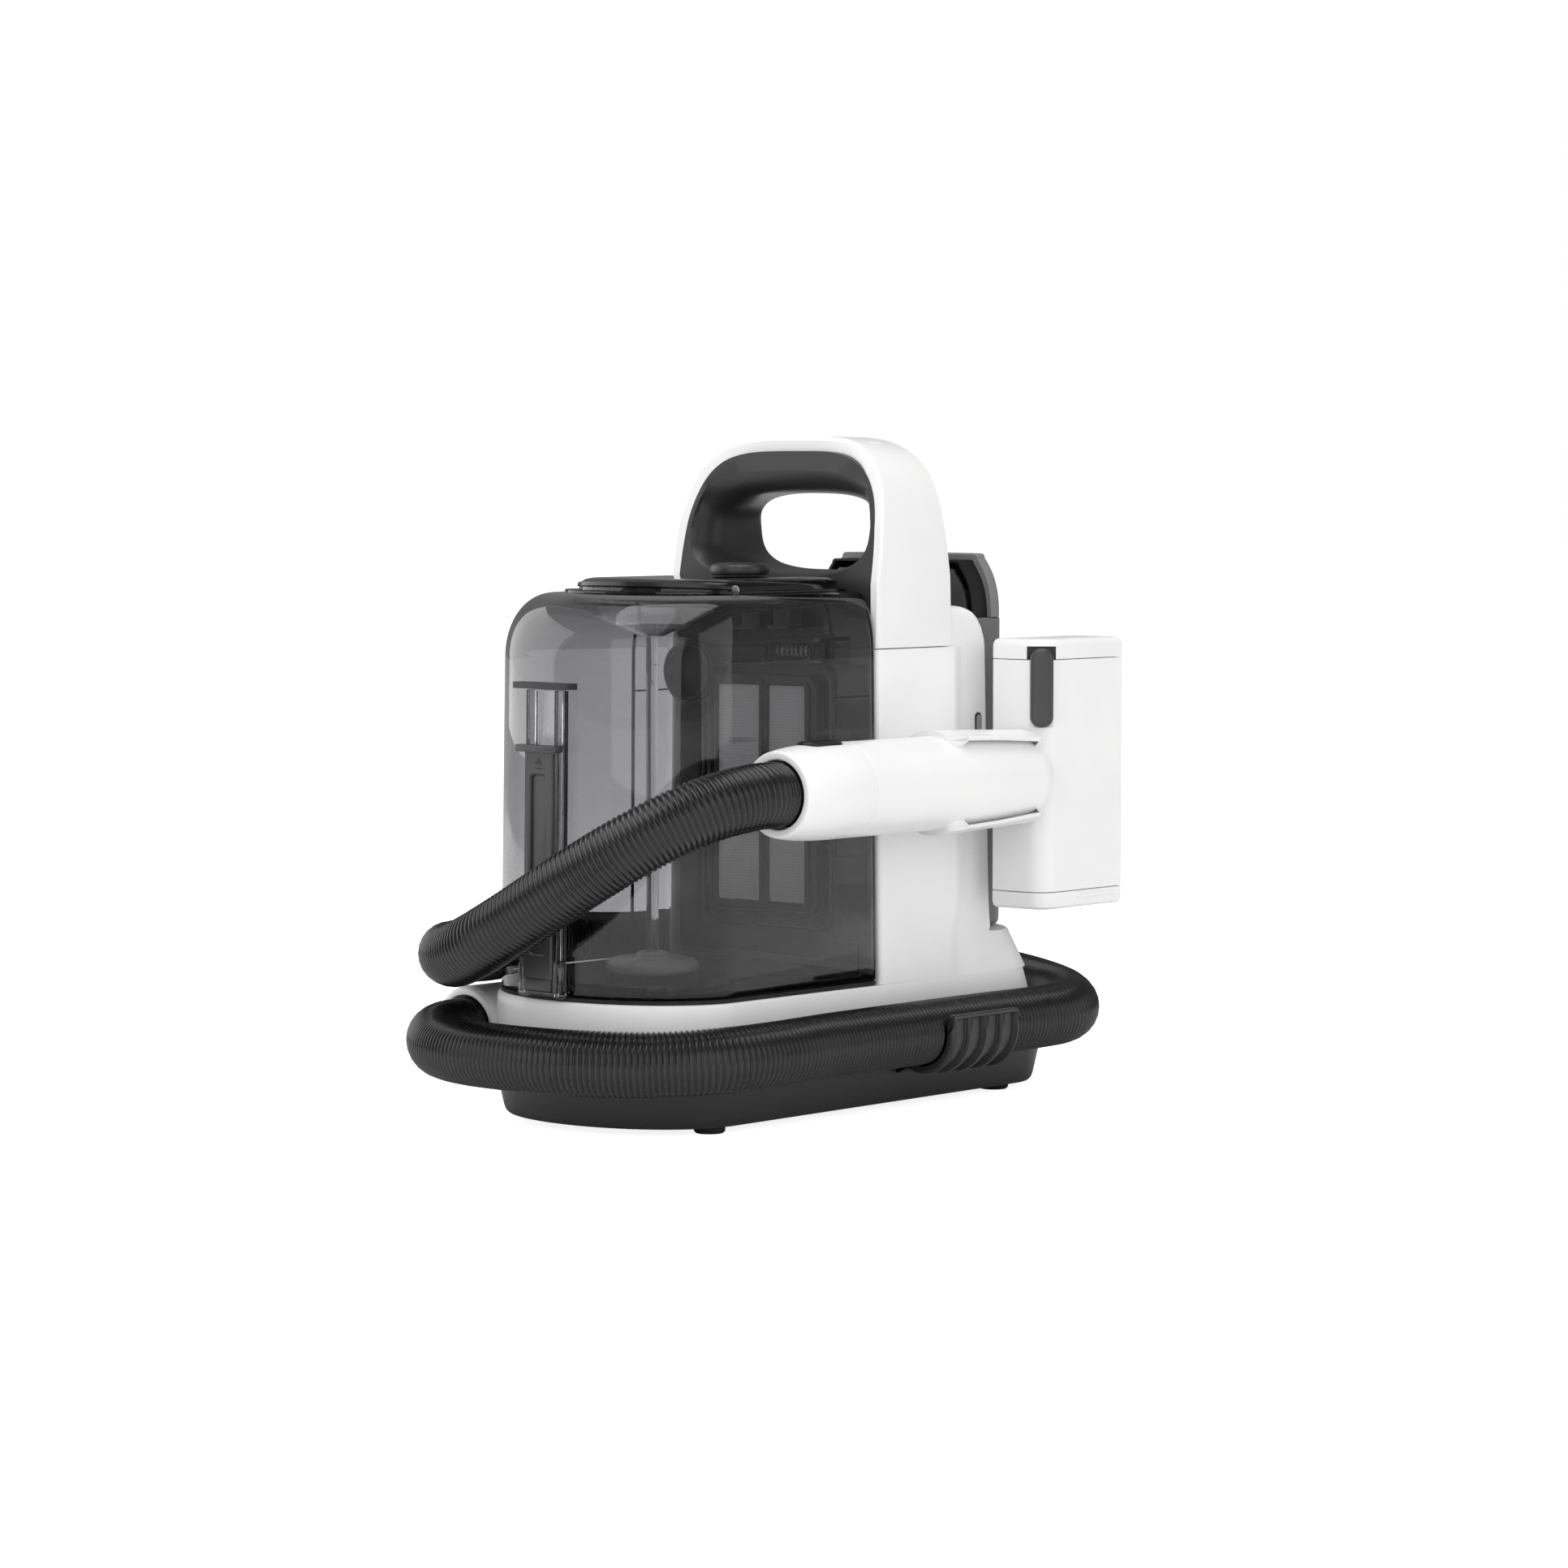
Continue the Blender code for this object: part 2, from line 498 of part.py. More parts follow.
def make_handle():
    """White arch band around the dark grip insert with its hand hole, and the power button."""
    angles = np.linspace(0, math.pi, 41)[:-1].tolist() + [math.pi - 0.0001]
    stations = [((TOWER_HALF_TOP, 225.6), (TOWER_HALF_TOP - ARCH_BAND, 225.6))]
    stations += [(arch_point(a, 0), arch_point(a, ARCH_BAND)) for a in angles]
    stations += [((-TOWER_HALF_TOP, 225.6), (ARCH_BAND - TOWER_HALF_TOP, 225.6))]
    chamfer = 1.4
    rings = []
    for outer, inner in stations:
        across = Vector((inner[0] - outer[0], inner[1] - outer[1])).normalized() * chamfer
        eased = (outer[0] + across.x, outer[1] + across.y)
        front, rear = lean(FRONT_LEAN, outer[1]), lean(REAR_LEAN, outer[1])
        rings.append([(outer[0], front + chamfer, outer[1]), (outer[0], rear - chamfer, outer[1]),
                      (eased[0], rear, eased[1]), (inner[0], rear, inner[1]),
                      (inner[0], front, inner[1]), (eased[0], front, eased[1])])
    housing = add_piece("handle_housing", loft_mesh("handle_housing", rings), "white")

    count = 48
    middle = (0.0, 281.0)

    def on_ray(inside, angle):
        """Walk out along a ray from the middle to where a shape ends."""
        near, far = 0.0, 160.0
        for _ in range(36):
            half = (near + far) / 2
            point = (middle[0] + half * math.cos(angle), middle[1] + half * math.sin(angle))
            near, far = (half, far) if inside(*point) else (near, half)
        return middle[0] + near * math.cos(angle), middle[1] + near * math.sin(angle)

    def in_arch(x, z, gap=ARCH_BAND + 0.6):
        half, rise = ARCH_HALF - gap, ARCH_TOP_Z - ARCH_BASE_Z - gap
        if z < SEAM_Z + 0.8:
            return False
        if z < ARCH_BASE_Z:
            return abs(x) < np.interp(z, (SEAM_Z, ARCH_BASE_Z), (TOWER_HALF_TOP - gap, half))
        return (abs(x) / half) ** ARCH_POWER + ((z - ARCH_BASE_Z) / rise) ** ARCH_POWER < 1

    def in_hole(flare):
        """The hole grows by the flare at the sides, more above than below, and leaves a thin lip."""
        half = HOLE_HALF + flare
        low, high = HOLE_LOW - 0.45 * flare, HOLE_HIGH + 1.6 * flare
        centre, rise = (low + high) / 2, (high - low) / 2
        lip = ARCH_BAND + 2.6
        return lambda x, z: (abs(x) / half) ** 3.2 + (abs(z - centre) / rise) ** 3.2 < 1 and in_arch(x, z,
                                                                                                     lip)

    turns = np.linspace(0, 2 * math.pi, count, endpoint=False)
    outer = [on_ray(in_arch, a) for a in turns]
    holes = {flare: [on_ray(in_hole(flare), a) for a in turns] for flare in (0.0, 1.2, 3.6, 6.8)}

    def layer(points, share, push=0.0):
        """Place points at a share of the handle's depth, measured from the front."""
        ring = []
        for x, z in points:
            front, rear = lean(FRONT_LEAN, z) + 0.4, lean(REAR_LEAN, z) - 0.4
            ring.append((x, front + (rear - front) * share + push, z))
        return ring

    rings = [layer(outer, 0), layer(holes[6.8], 0), layer(holes[3.6], 0, 2.5), layer(holes[1.2], 0, 7),
             layer(holes[0.0], 0.42), layer(holes[0.0], 0.72), layer(holes[1.2], 1, -4),
             layer(holes[3.6], 1), layer(outer, 1)]
    insert = add_piece("grip_insert", loft_mesh("grip_insert", rings, loop=True), "dark")

    x, y = 30.0, 33.0
    tilt = math.radians(15.5)
    up = Vector((math.sin(tilt), 0, math.cos(tilt)))
    top = Vector((x, y, 324.6))
    pocket = add_cutter("button_pocket", rod_mesh("button_pocket", 10.6, top - up * 7.6, top + up * 8, 28))
    cut(housing, pocket)
    cut(insert, pocket)
    bm = bmesh.new()
    bmesh.ops.create_cone(bm, cap_ends=True, segments=28, radius1=10.2, radius2=10.2, depth=5.2)
    button = add_piece("power_button", mesh_from(bm, "power_button"), "white", top - up * 1.9)
    button.rotation_euler = (0, tilt, 0)
    bevel(button, 0.5, 1)


# ---------------------------------------------------------------- dirty-water tank

def make_tank():
    """Smoky D-shaped tank with its closed top, lid, knob, float, filter and release slider."""
    def shoulder_ring(angle):
        """A level ring of the rounded top, a quarter of a superellipse from wall to flat."""
        rise, share = math.sin(angle) ** (2 / SHOULDER_POWER), 1 - math.cos(angle) ** (2 / SHOULDER_POWER)
        z = SHOULDER_Z + (TANK_Z[1] - SHOULDER_Z) * rise
        outline = d_shape(SHOULDER_HALF - SHOULDER_SIDE_INSET * share,
                          SHOULDER_FRONT + SHOULDER_FRONT_INSET * share, TANK_REAR,
                          TANK_LOW["front_depth"] - SHOULDER_DEPTH_LOSS * share, 4.0)
        return at_height(outline, z)

    low = d_shape(TANK_LOW["half"], TANK_LOW["front"], TANK_REAR, TANK_LOW["front_depth"], 4.0)
    rings = [at_height(low, TANK_Z[0])]
    rings += [shoulder_ring(math.radians(angle)) for angle in (0, 18, 36, 54, 72)]
    rings.append(shoulder_ring(math.pi / 2 - 1e-6))
    rings.append(at_height(d_shape(**MOUTH), TANK_Z[1]))
    shell = add_piece("tank_shell", loft_mesh("tank_shell", rings, caps=(True, False)), "smoke")
    wall(shell, TANK_WALL)
    cut(shell, bpy.data.objects["port_hole"])

    bottom, shelf = TANK_Z[1] + GAP, TANK_Z[1] + 2.2
    lid_rings = []
    for z, inset in ((258.9, 14), (258.2, 4.5), (256.6, 2.2), (bottom, LID_WALL)):
        lid_rings.append(at_height(d_shape(**DOME, inset=inset), z))
    lid_rings += [at_height(d_shape(**FLANGE), bottom), at_height(d_shape(**FLANGE), shelf)]
    for z, inset in ((shelf, 0), (257.4, 0.6), (259.4, 2.6), (260.4, 6), (260.4, 14)):
        lid_rings.append(at_height(d_shape(**DOME, inset=inset), z))
    add_piece("tank_lid", loft_mesh("tank_lid", lid_rings), "smoke")
    seal = [d_shape(**MOUTH, inset=0.5), d_shape(**MOUTH, inset=2.6)]
    add_piece("lid_seal", plate_mesh("lid_seal", seal, TANK_Z[1] - 2, TANK_Z[1] + 3), "rubber")
    profile = [(0, 267.2), (11.5, 267.2), (14.2, 265.6), (14.6, 262.8), (13.8, 260.8), (0, 260.8)]
    knob = turned("lid_knob", profile, "dark", (0, -25, 0), steps=28)
    cut(knob, add_cutter("knob_slit", box_mesh("knob_slit", (-9, -26, 265.6), (9, -24, 270))))

    x, y = FLOAT_AXIS
    top = TANK_Z[1] - TANK_WALL - GAP
    profile = [(36.2, top), (38.2, top), (38.2, top - 0.8), (5.2, 234.0), (3.4, 234.0), (3.4, 235.2),
               (36.2, top)]
    turned("inlet_funnel", profile, "smoke", (x, y, 0), steps=32)
    floor = TANK_Z[0] + TANK_WALL
    add_piece("float_rod", rod_mesh("float_rod", 3, (x, y, floor + GAP), (x, y, 233.4), 12), "smoke")
    profile = [(4, floor + 9), (20, floor + 9), (23, floor + 6.5), (23, floor + 1.4), (4, floor + 1.4),
               (4, floor + 9)]
    turned("tank_float", profile, "smoke", (x, y, 0), steps=28)

    back = TANK_REAR - TANK_WALL - GAP
    frame_outline = round_box((-34.4, 92), (34.4, 212), (8,) * 4, 4)
    windows = [round_box((s * 14.7 - 11.9, 99.6), (s * 14.7 + 11.9, 207), (1.5,) * 4, 3) for s in (-1, 1)]
    frame_mesh = plate_mesh("filter_frame", [frame_outline] + windows, back - 5.5, back, "Y")
    frame = add_piece("filter_frame", frame_mesh, "dark")
    port_x, port_z = PORT_AT
    notch = rod_mesh("filter_notch", PORT_RIM + GAP, (port_x, back - 9, port_z),
                     (port_x, back + 2, port_z), 32)
    cut(frame, add_cutter("filter_notch", notch))
    for side, name in ((-1, "filter_screen_left"), (1, "filter_screen_right")):
        low, high = side * 14.7 - 11.5, side * 14.7 + 11.5
        outline = round_box((low, 100), (high, 206.6), (1.2,) * 4, 3)
        add_piece(name, plate_mesh(name, [outline], back - 3.6, back - 2.2, "Y"), "screen")
    profile = [(13.5, back - 7.5), (PORT_RIM, back - 7.5), (PORT_RIM, back), (PORT_BORE, back),
               (PORT_BORE, back - 2), (13.5, back - 2), (13.5, back - 7.5)]
    turned_y("suction_port", profile, "dark", (port_x, 0, port_z), steps=32)

    box = add_piece("catch_housing", box_mesh("catch_housing", (7, back - 12, 217.5), (38, back, 231)),
                    "smoke")
    cut(box, add_cutter("catch_hollow", box_mesh("catch_hollow", (9, back - 20, 219.5),
                                                 (36, back - 2, 229))))
    turns, radius, samples = 6, 3.2, 9
    angles = np.linspace(0, turns * 2 * math.pi, turns * samples + 1)
    coil = [(12 + 21 * a / angles[-1], back - 7 + radius * math.cos(a), 224.2 + radius * math.sin(a))
            for a in angles]
    spring = wire_mesh("catch_spring", coil, 0.45, 1)
    add_piece("catch_spring", spring, "metal")
    make_release_slider()


def make_release_slider():
    """Release slider on the tank's front, between its guide rails and under its stop plate."""
    holder = bpy.data.objects.new("slider_frame", None)
    holder.location = Vector(SLIDER_AT) * MM
    holder.rotation_euler = (SLIDER_TILT, 0, SLIDER_TURN)
    holder.parent = frame_empty
    parts.objects.link(holder)
    bend = 2 * TANK_LOW["half"] ** 2 / TANK_LOW["front_depth"]

    def placed(obj):
        """Heights are measured from the tank's foot, and Y from its curved face."""
        obj.parent = holder
        return obj

    def hugging(half, depth, inner=()):
        """An outline whose back follows the tank's face."""
        back = [(u, u * u / bend - 0.5) for u in np.linspace(half, -half, 7)]
        return back + [(-half, -depth)] + list(inner) + [(half, -depth)]

    channel = [(-10.4, -5.6), (-10.4, -1.9), (10.4, -1.9), (10.4, -5.6)]
    placed(add_piece("slider_guide", plate_mesh("slider_guide", [hugging(13, 5.6, channel)], 2, 144.6),
                     "smoke"))
    stop = placed(add_piece("slider_stop", plate_mesh("slider_stop", [hugging(18.5, 7)], 145, 148), "dark"))
    body = placed(add_piece("release_slider", box_mesh("release_slider", (-9.8, -6.3, 8), (9.8, -2.3, 117)),
                            "dark"))
    ledge = placed(add_cutter("slider_ledge", box_mesh("slider_ledge", (-14, -8.5, 115.2),
                                                       (14, -6.4, 118.7))))
    neck = placed(add_cutter("slider_neck", box_mesh("slider_neck", (-9.7, -7.4, 115.3),
                                                     (9.7, -2.4, 118.6))))
    recess = placed(add_cutter("slider_recess", box_mesh("slider_recess", (-5.5, -9, 20),
                                                         (5.5, -4.6, 104.5))))
    hook = placed(add_cutter("slider_hook", box_mesh("slider_hook", (-9, -5.7, 2.5), (9, -2.4, 9))))
    for tool in (ledge, neck, hook):
        cut(body, tool, "UNION")
    cut(body, recess)


# ---------------------------------------------------------------- clean-water tank

def make_clean_tank():
    """Dark tank behind the column, with its carrying hood, filler cap and outlet valve."""
    depth = CLEAN_REAR - 109
    rings = [at_height(back_d(CLEAN_HALF, CLEAN_FRONT, CLEAN_REAR, depth, inset=i), z)
             for z, i in ((CLEAN_Z[0], 2), (CLEAN_Z[0] + 2, 0), (CLEAN_Z[1] - 4, 0), (CLEAN_Z[1] - 4, 3),
                          (CLEAN_Z[1], 3))]
    tank = add_piece("clean_tank", loft_mesh("clean_tank", rings, caps=(True, False)), "dark")
    wall(tank, 2)
    valve_seat = rod_mesh("valve_seat", VALVE_R + GAP, (0, VALVE_Y, 78), (0, VALVE_Y, 90))
    cut(tank, add_cutter("valve_seat", valve_seat))
    inside = CLEAN_Z[0] + 2 + GAP
    profile = [(0, inside + 2), (9, inside + 2), (9, inside), (VALVE_R, inside), (VALVE_R, HUMP_Z - 3.5),
               (0, HUMP_Z - 3.5)]
    turned("clean_tank_valve", profile, "rubber", (0, VALVE_Y, 0), steps=16)

    angles = np.linspace(0, math.pi, 19)
    stations = []
    for a in angles:
        low = 2 * (CLEAN_Z[1] + 0.4) - HOOD_TOP
        outer = oval(CLEAN_HALF, low, HOOD_TOP, 3.6, a)
        inner = oval(CLEAN_HALF - HOOD_WALL, low + HOOD_WALL, HOOD_TOP - HOOD_WALL, 3.6, a)
        stations.append((outer, inner))
    rings = []
    for outer, inner in stations:
        ring = []
        for (x, z), pair in ((outer, (CLEAN_FRONT + 2, 129)), (inner, (129, CLEAN_FRONT + 2))):
            for y in pair:
                limit = 109 + depth * math.sqrt(max(0.0, 1 - (x / (CLEAN_HALF + 0.5)) ** 2))
                ring.append((x, min(y, limit), z))
        rings.append(ring)
    add_piece("clean_tank_hood", loft_mesh("clean_tank_hood", rings), "dark")
    cap = back_d(CLEAN_HALF - 9, CLEAN_FRONT + 12, CLEAN_REAR - 4, 16)
    rings = [at_height(cap, 238.4), at_height(cap, 252),
             at_height(back_d(CLEAN_HALF - 9, CLEAN_FRONT + 12, CLEAN_REAR - 4, 16, inset=4), 258)]
    add_piece("clean_tank_cap", loft_mesh("clean_tank_cap", rings), "dark")


# ---------------------------------------------------------------- wand, bracket, cleaning head

def make_wand():
    """White wand in two turned pieces with its trigger button, in a sprung C-shaped bracket."""
    x, z = WAND_X, WAND_Z
    grip = [(20.2, WAND_FRONT), (21.2, WAND_FRONT + 6), (22.4, WAND_FRONT + 16), (WAND_R, WAND_FRONT + 28),
            (WAND_R, WAND_SPLIT - GAP), (13, WAND_SPLIT - GAP), (13, HOSE_END_Y + GAP),
            (16.8, HOSE_END_Y + GAP),
            (16.8, WAND_FRONT), (20.2, WAND_FRONT)]
    turned_y("wand_grip", grip, "white", (x, 0, z))
    tube = [(WAND_R, WAND_SPLIT), (WAND_R, 0), (DOME_R, DOME_Y)]
    tube += [(DOME_R * math.cos(a), DOME_Y + DOME_R * math.sin(a)) for a in np.radians((20, 40, 55, 68))]
    inner = DOME_R - 2.4
    tube += [(inner * math.cos(a), DOME_Y + inner * math.sin(a)) for a in np.radians((66, 35, 0))]
    tube += [(20.2, WAND_SPLIT), (WAND_R, WAND_SPLIT)]
    turned_y("wand_tube", tube, "white", (x, 0, z))

    grip_obj = bpy.data.objects["wand_grip"]
    pocket = plate_mesh("trigger_pocket", [stadium(0, -76.5, 6.4, 27.2)], WAND_Z + 16.6, WAND_Z + 30, "Z")
    pocket.transform(Matrix.Translation((x * MM, 0, 0)))
    cut(grip_obj, add_cutter("trigger_pocket", pocket))
    oval_button = plate_mesh("wand_button", [stadium(0, 0, 6.0, 26.4)], WAND_Z + 19.3, WAND_Z + 24, "Z")
    oval_button.transform(Matrix.Translation((0, 0, -WAND_Z * MM)))
    button = add_piece("wand_button", oval_button, "dark", (x, -76.5, WAND_Z))
    bevel(button, 0.6, 1, angle=60)

    def bracket_outline():
        outer, inner = 25.3, 23.15
        points = [(x + outer * math.cos(a), z + outer * math.sin(a))
                  for a in np.radians(np.linspace(57, 303, 31))]
        root_x = 68.4
        points = [(root_x, v) if abs(v - z) < 7 and u < x else (u, v) for u, v in points]
        points += [(x + inner * math.cos(a), z + inner * math.sin(a))
                   for a in np.radians(np.linspace(303, 57, 31))]
        return points

    outline = bracket_outline()
    add_piece("wand_bracket", plate_mesh("wand_bracket", [outline], *BRACKET_Y, "Y"), "white")


def stadium(x, y, half_width, length, count=7):
    """A slot outline along Y with round ends."""
    reach = length / 2 - half_width
    return arc((x, y + reach), half_width, 0, 180, count) + arc((x, y - reach), half_width, 180, 360, count)


def turned_y(name, profile, kind, at, steps=32, cutter=False):
    """Turn a closed profile of (radius, Y) pairs, listed front to back outside, about a Y axis."""
    flipped = [(radius, -y) for radius, y in profile]
    obj = turned(name, flipped, kind, at, steps=steps, cutter=cutter)
    obj.rotation_euler = (math.radians(90), 0, 0)
    return obj


def make_head():
    """White cleaning head on the wand: end cap, latch, foot cap, and the driven brush roller."""
    (x0, x1), (y0, y1) = HEAD_X, HEAD_Y
    outline = round_box((x0, y0), (x1, y1), HEAD_CORNERS, 5)
    rings = [at_height(outline, HEAD_FOOT_Z), at_height(outline, HEAD_LID_Z)]
    body = add_piece("head_body", loft_mesh("head_body", rings, caps=(False, False)), "white")
    wall(body, 2.2)
    hole = [(0.0, DOME_R + 0.4 + DOME_Y), (0.0, DOME_Y - DOME_R - 0.4)]
    arc_points = [((DOME_R + 0.4) * math.cos(a), DOME_Y + (DOME_R + 0.4) * math.sin(a))
                  for a in np.linspace(-math.pi / 2, math.pi / 2, 15)]
    arc_points[0], arc_points[-1] = hole[1], hole[0]
    cut(body, turned_y("dome_seat", arc_points, "white", (WAND_X, 0, WAND_Z), cutter=True))
    cut(body, add_cutter("roller_window", box_mesh("roller_window", (x0 + 5, y1 - 6, 112),
                                                   (x1 - 5, y1 + 6, 209))))

    lid = add_piece("head_end_cap", loft_mesh("head_end_cap", [
        at_height(outline, HEAD_LID_Z + GAP), at_height(outline, HEAD_Z[1] - 3),
        at_height(round_box((x0 + 1, y0 + 1), (x1 - 1, y1 - 1), [r - 1 for r in HEAD_CORNERS], 5),
                  HEAD_Z[1] - 1),
        at_height(round_box((x0 + 3, y0 + 3), (x1 - 3, y1 - 3), [r - 2 for r in HEAD_CORNERS], 5),
                  HEAD_Z[1])],
        caps=(False, True)), "white")
    wall(lid, 2.2)
    foot = add_piece("head_foot_cap", loft_mesh("head_foot_cap", [
        at_height(round_box((x0 + 3, y0 + 3), (x1 - 3, y1 - 3), [r - 2 for r in HEAD_CORNERS], 5),
                  HEAD_Z[0]),
        at_height(round_box((x0 + 1, y0 + 1), (x1 - 1, y1 - 1), [r - 1 for r in HEAD_CORNERS], 5),
                  HEAD_Z[0] + 1),
        at_height(outline, HEAD_Z[0] + 3), at_height(outline, HEAD_FOOT_Z - GAP)],
        caps=(True, False)), "white")
    wall(foot, 2.2)

    turn = math.radians(41)
    radius = HEAD_CORNERS[1]
    corner = Vector((x1 - radius + radius * math.sin(turn), y0 + radius - radius * math.cos(turn), 0))
    notch = add_cutter("latch_notch", box_mesh("latch_notch", (-7.2, -6, HEAD_LID_Z - 4),
                                               (7.2, 3.2, 225.4)), corner)
    notch.rotation_euler = (0, 0, turn)
    cut(lid, notch)
    pocket = add_cutter("latch_pocket", box_mesh("latch_pocket", (-7.2, -6, 185.5), (7.2, 1.4, 230)), corner)
    pocket.rotation_euler = (0, 0, turn)
    cut(body, pocket)
    latch = add_piece("head_latch", box_mesh("head_latch", (-6.6, -5.2, -36), (6.6, 0.8, 3)), "dark",
                      corner + Vector((0, 0, 221.5)))
    latch.rotation_euler = (0, 0, turn)
    bevel(latch, 1.8, 2)

    rx, ry = ROLLER_AT
    mx, my = MOTOR_AT
    profile = [(0, 214), (2.5, 214), (2.5, 208), (ROLLER_R, 208), (ROLLER_R, 113), (2.5, 113), (2.5, 106.5),
               (0, 106.5)]
    turned("brush_roller", profile, "dark", (rx, ry, 0), steps=20)
    add_piece("head_motor", rod_mesh("head_motor", 8.5, (mx, my, 112), (mx, my, 138), 20), "metal")
    profile = [(0, 111.5), (4, 111.5), (4, 104.2), (0, 104.2)]
    turned("motor_pulley", profile, "metal", (mx, my, 0), steps=16)
    profile = [(3, 112.5), (PULLEY_R, 112.5), (PULLEY_R, 106), (3, 106), (3, 112.5)]
    turned("roller_pulley", profile, "dark", (rx, ry, 0), steps=20)
    loops = [belt_outline((mx, my), 4 + out, (rx, ry), PULLEY_R + out) for out in (1.7, GAP)]
    add_piece("drive_belt", plate_mesh("drive_belt", loops, 107.5, 110.5), "rubber")


def belt_outline(centre_a, radius_a, centre_b, radius_b, count=9):
    """The closed line of a belt around two pulleys along Y."""
    span = centre_b[1] - centre_a[1]
    tilt = math.degrees(math.asin((radius_b - radius_a) / span))
    first = arc(centre_b, radius_b, -tilt, 180 + tilt, count)
    second = arc(centre_a, radius_a, 180 + tilt, 360 - tilt, count)
    return first + second


# ---------------------------------------------------------------- hose, port and clips

def make_hose():
    """Corrugated hose as a plain tube, its white port, and the dark clips that hold it."""
    path = smooth_path(HOSE_ROUTE, HOSE_STEP)
    add_piece("hose", wire_mesh("hose", path.tolist(), HOSE_D / 2, 4), "rubber")

    radius = 21.3
    y0, y1 = PORT_Y
    floor = HOSE_ROUTE[-1][1] + GAP
    profile = [(0, floor), (16.9, floor), (16.9, y0), (radius - 1.5, y0), (radius, y0 + 3), (radius, y1 - 6),
               (radius - 7, y1), (0, y1)]
    port = turned_y("hose_port", profile, "white", (PORT_X, 0, PORT_Z))
    cut(port, add_cutter("port_foot", box_mesh("port_foot", (-88, -106, 31), (-71.9, -92, 48))), "UNION")

    def clip(name, centre, root_x, foot, side, kind):
        """A J in the front view, swept along Y, with ribs where its outer radius grows."""
        cx, cz = centre
        inner, outer, rib = 16.5, 18.9, 20.7
        lift = 9.5
        stations = []
        y0, y1 = CLIP_Y
        rib_width, spacing = 2.0, (y1 - y0 - 2.0) / 4
        for k in range(5):
            start = y0 + k * spacing
            stations += [(start, rib), (start + rib_width, rib)]
            if k < 4:
                stations += [(start + rib_width, outer), (start + spacing, outer)]
        angles = np.radians(np.linspace(-128, 0, 9))
        rings = []
        for y, reach in stations:
            out = [(cx + reach * math.cos(a), cz + reach * math.sin(a)) for a in angles]
            back = [(cx + inner * math.cos(a), cz + inner * math.sin(a)) for a in angles[::-1]]
            ring = [(root_x, foot[0])] + out + [(cx + reach, cz + lift), (cx + inner, cz + lift)]
            ring += back + [(root_x, foot[1])]
            rings.append([(side * u, y, v) for u, v in ring])
        add_piece(name, loft_mesh(name, rings), kind)

    clip("hose_clip_right", CLIP_RIGHT, 72.4, (18.5, 27.5), 1, "dark")
    clip("hose_clip_left", CLIP_LEFT, 71.3, (46.0, 57.0), -1, "dark")


# ---------------------------------------------------------------- inner works

def make_inner_works():
    """Suction motor and fan, pump, duct and control board inside the housing."""
    x, y = FAN_AXIS
    z0, z1 = MOTOR_Z
    profile = [(0, z1), (10, z1), (10, z1 - 4), (36, z1 - 4), (36, z0), (0, z0)]
    turned("suction_motor", profile, "metal", (x, y, 0), steps=28)
    profile = [(37, z0 - 0.4), (37, z0 - 8), (22, z0 - 8), (22, z0 - 0.4), (37, z0 - 0.4)]
    turned("motor_mount", profile, "rubber", (x, y, 0), steps=28)
    z0, z1 = FAN_Z
    profile = [(14, z1), (40, z1), (40, z0), (12, z0), (12, z0 + 2), (38, z0 + 2), (38, z1 - 2),
               (14, z1 - 2), (14, z1)]
    turned("fan_housing", profile, "dark", (x, y, 0), steps=28)
    profile = [(0, z1 - 5), (12, z1 - 5), (34, z1 - 12), (34, z0 + 6), (3, z0 + 6), (3, z0 - 0.5),
               (0, z0 - 0.5)]
    turned("fan_impeller", profile, "metal", (x, y, 0), steps=24)
    profile = [(13, z1 + 8), (20, z1 + 8), (20, z1 + 0.4), (13, z1 + 0.4), (13, z1 + 8)]
    turned("fan_seal", profile, "rubber", (x, y, 0), steps=24)
    route = [(PORT_AT[0], 3, 213), (PORT_AT[0], 13, 212.5), (-40, 26, 210), (-22, 38, 208),
             (-5, 45, 204), (0, 46, 196), (0, 46, 192.6)]
    duct = add_piece("suction_duct", wire_mesh("suction_duct", smooth_path(route, 7).tolist(), 9, 3), "dark")
    route = [(PORT_AT[0], -2, 213)] + route + [(0, 46, 188)]
    cut(duct, add_cutter("duct_bore", wire_mesh("duct_bore", smooth_path(route, 7).tolist(), 7.2, 3)))
    pump = add_piece("pump_body", box_mesh("pump_body", (-20, -78, 30), (20, -34, 54)), "dark")
    bevel(pump, 3, 2)
    tube = smooth_path(((0, -33.5, 42), (0, -15, 42), (4, 10, 40), (6, 60, 38), (4, 90, 40), (2, 106, 48),
                        (0, VALVE_Y, 62), (0, VALVE_Y, HUMP_Z - 4)), 10)
    add_piece("pump_inlet_tube", wire_mesh("pump_inlet_tube", tube.tolist(), 3.2, 1), "rubber")
    tube = smooth_path(((-20.5, -60, 42), (-30, -60, 42), (-46, -68, 41.5), (-58, -84, 41),
                        (-62, -98, 40)), 8)
    add_piece("pump_outlet_tube", wire_mesh("pump_outlet_tube", tube.tolist(), 3.2, 1), "rubber")
    add_piece("control_board", box_mesh("control_board", (14, 5, 120), (50, 6.6, 200)), "board")


make_base()
make_main_housing()
make_handle()
make_tank()
make_clean_tank()
make_wand()
make_head()
make_hose()
make_inner_works()
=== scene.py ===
import math

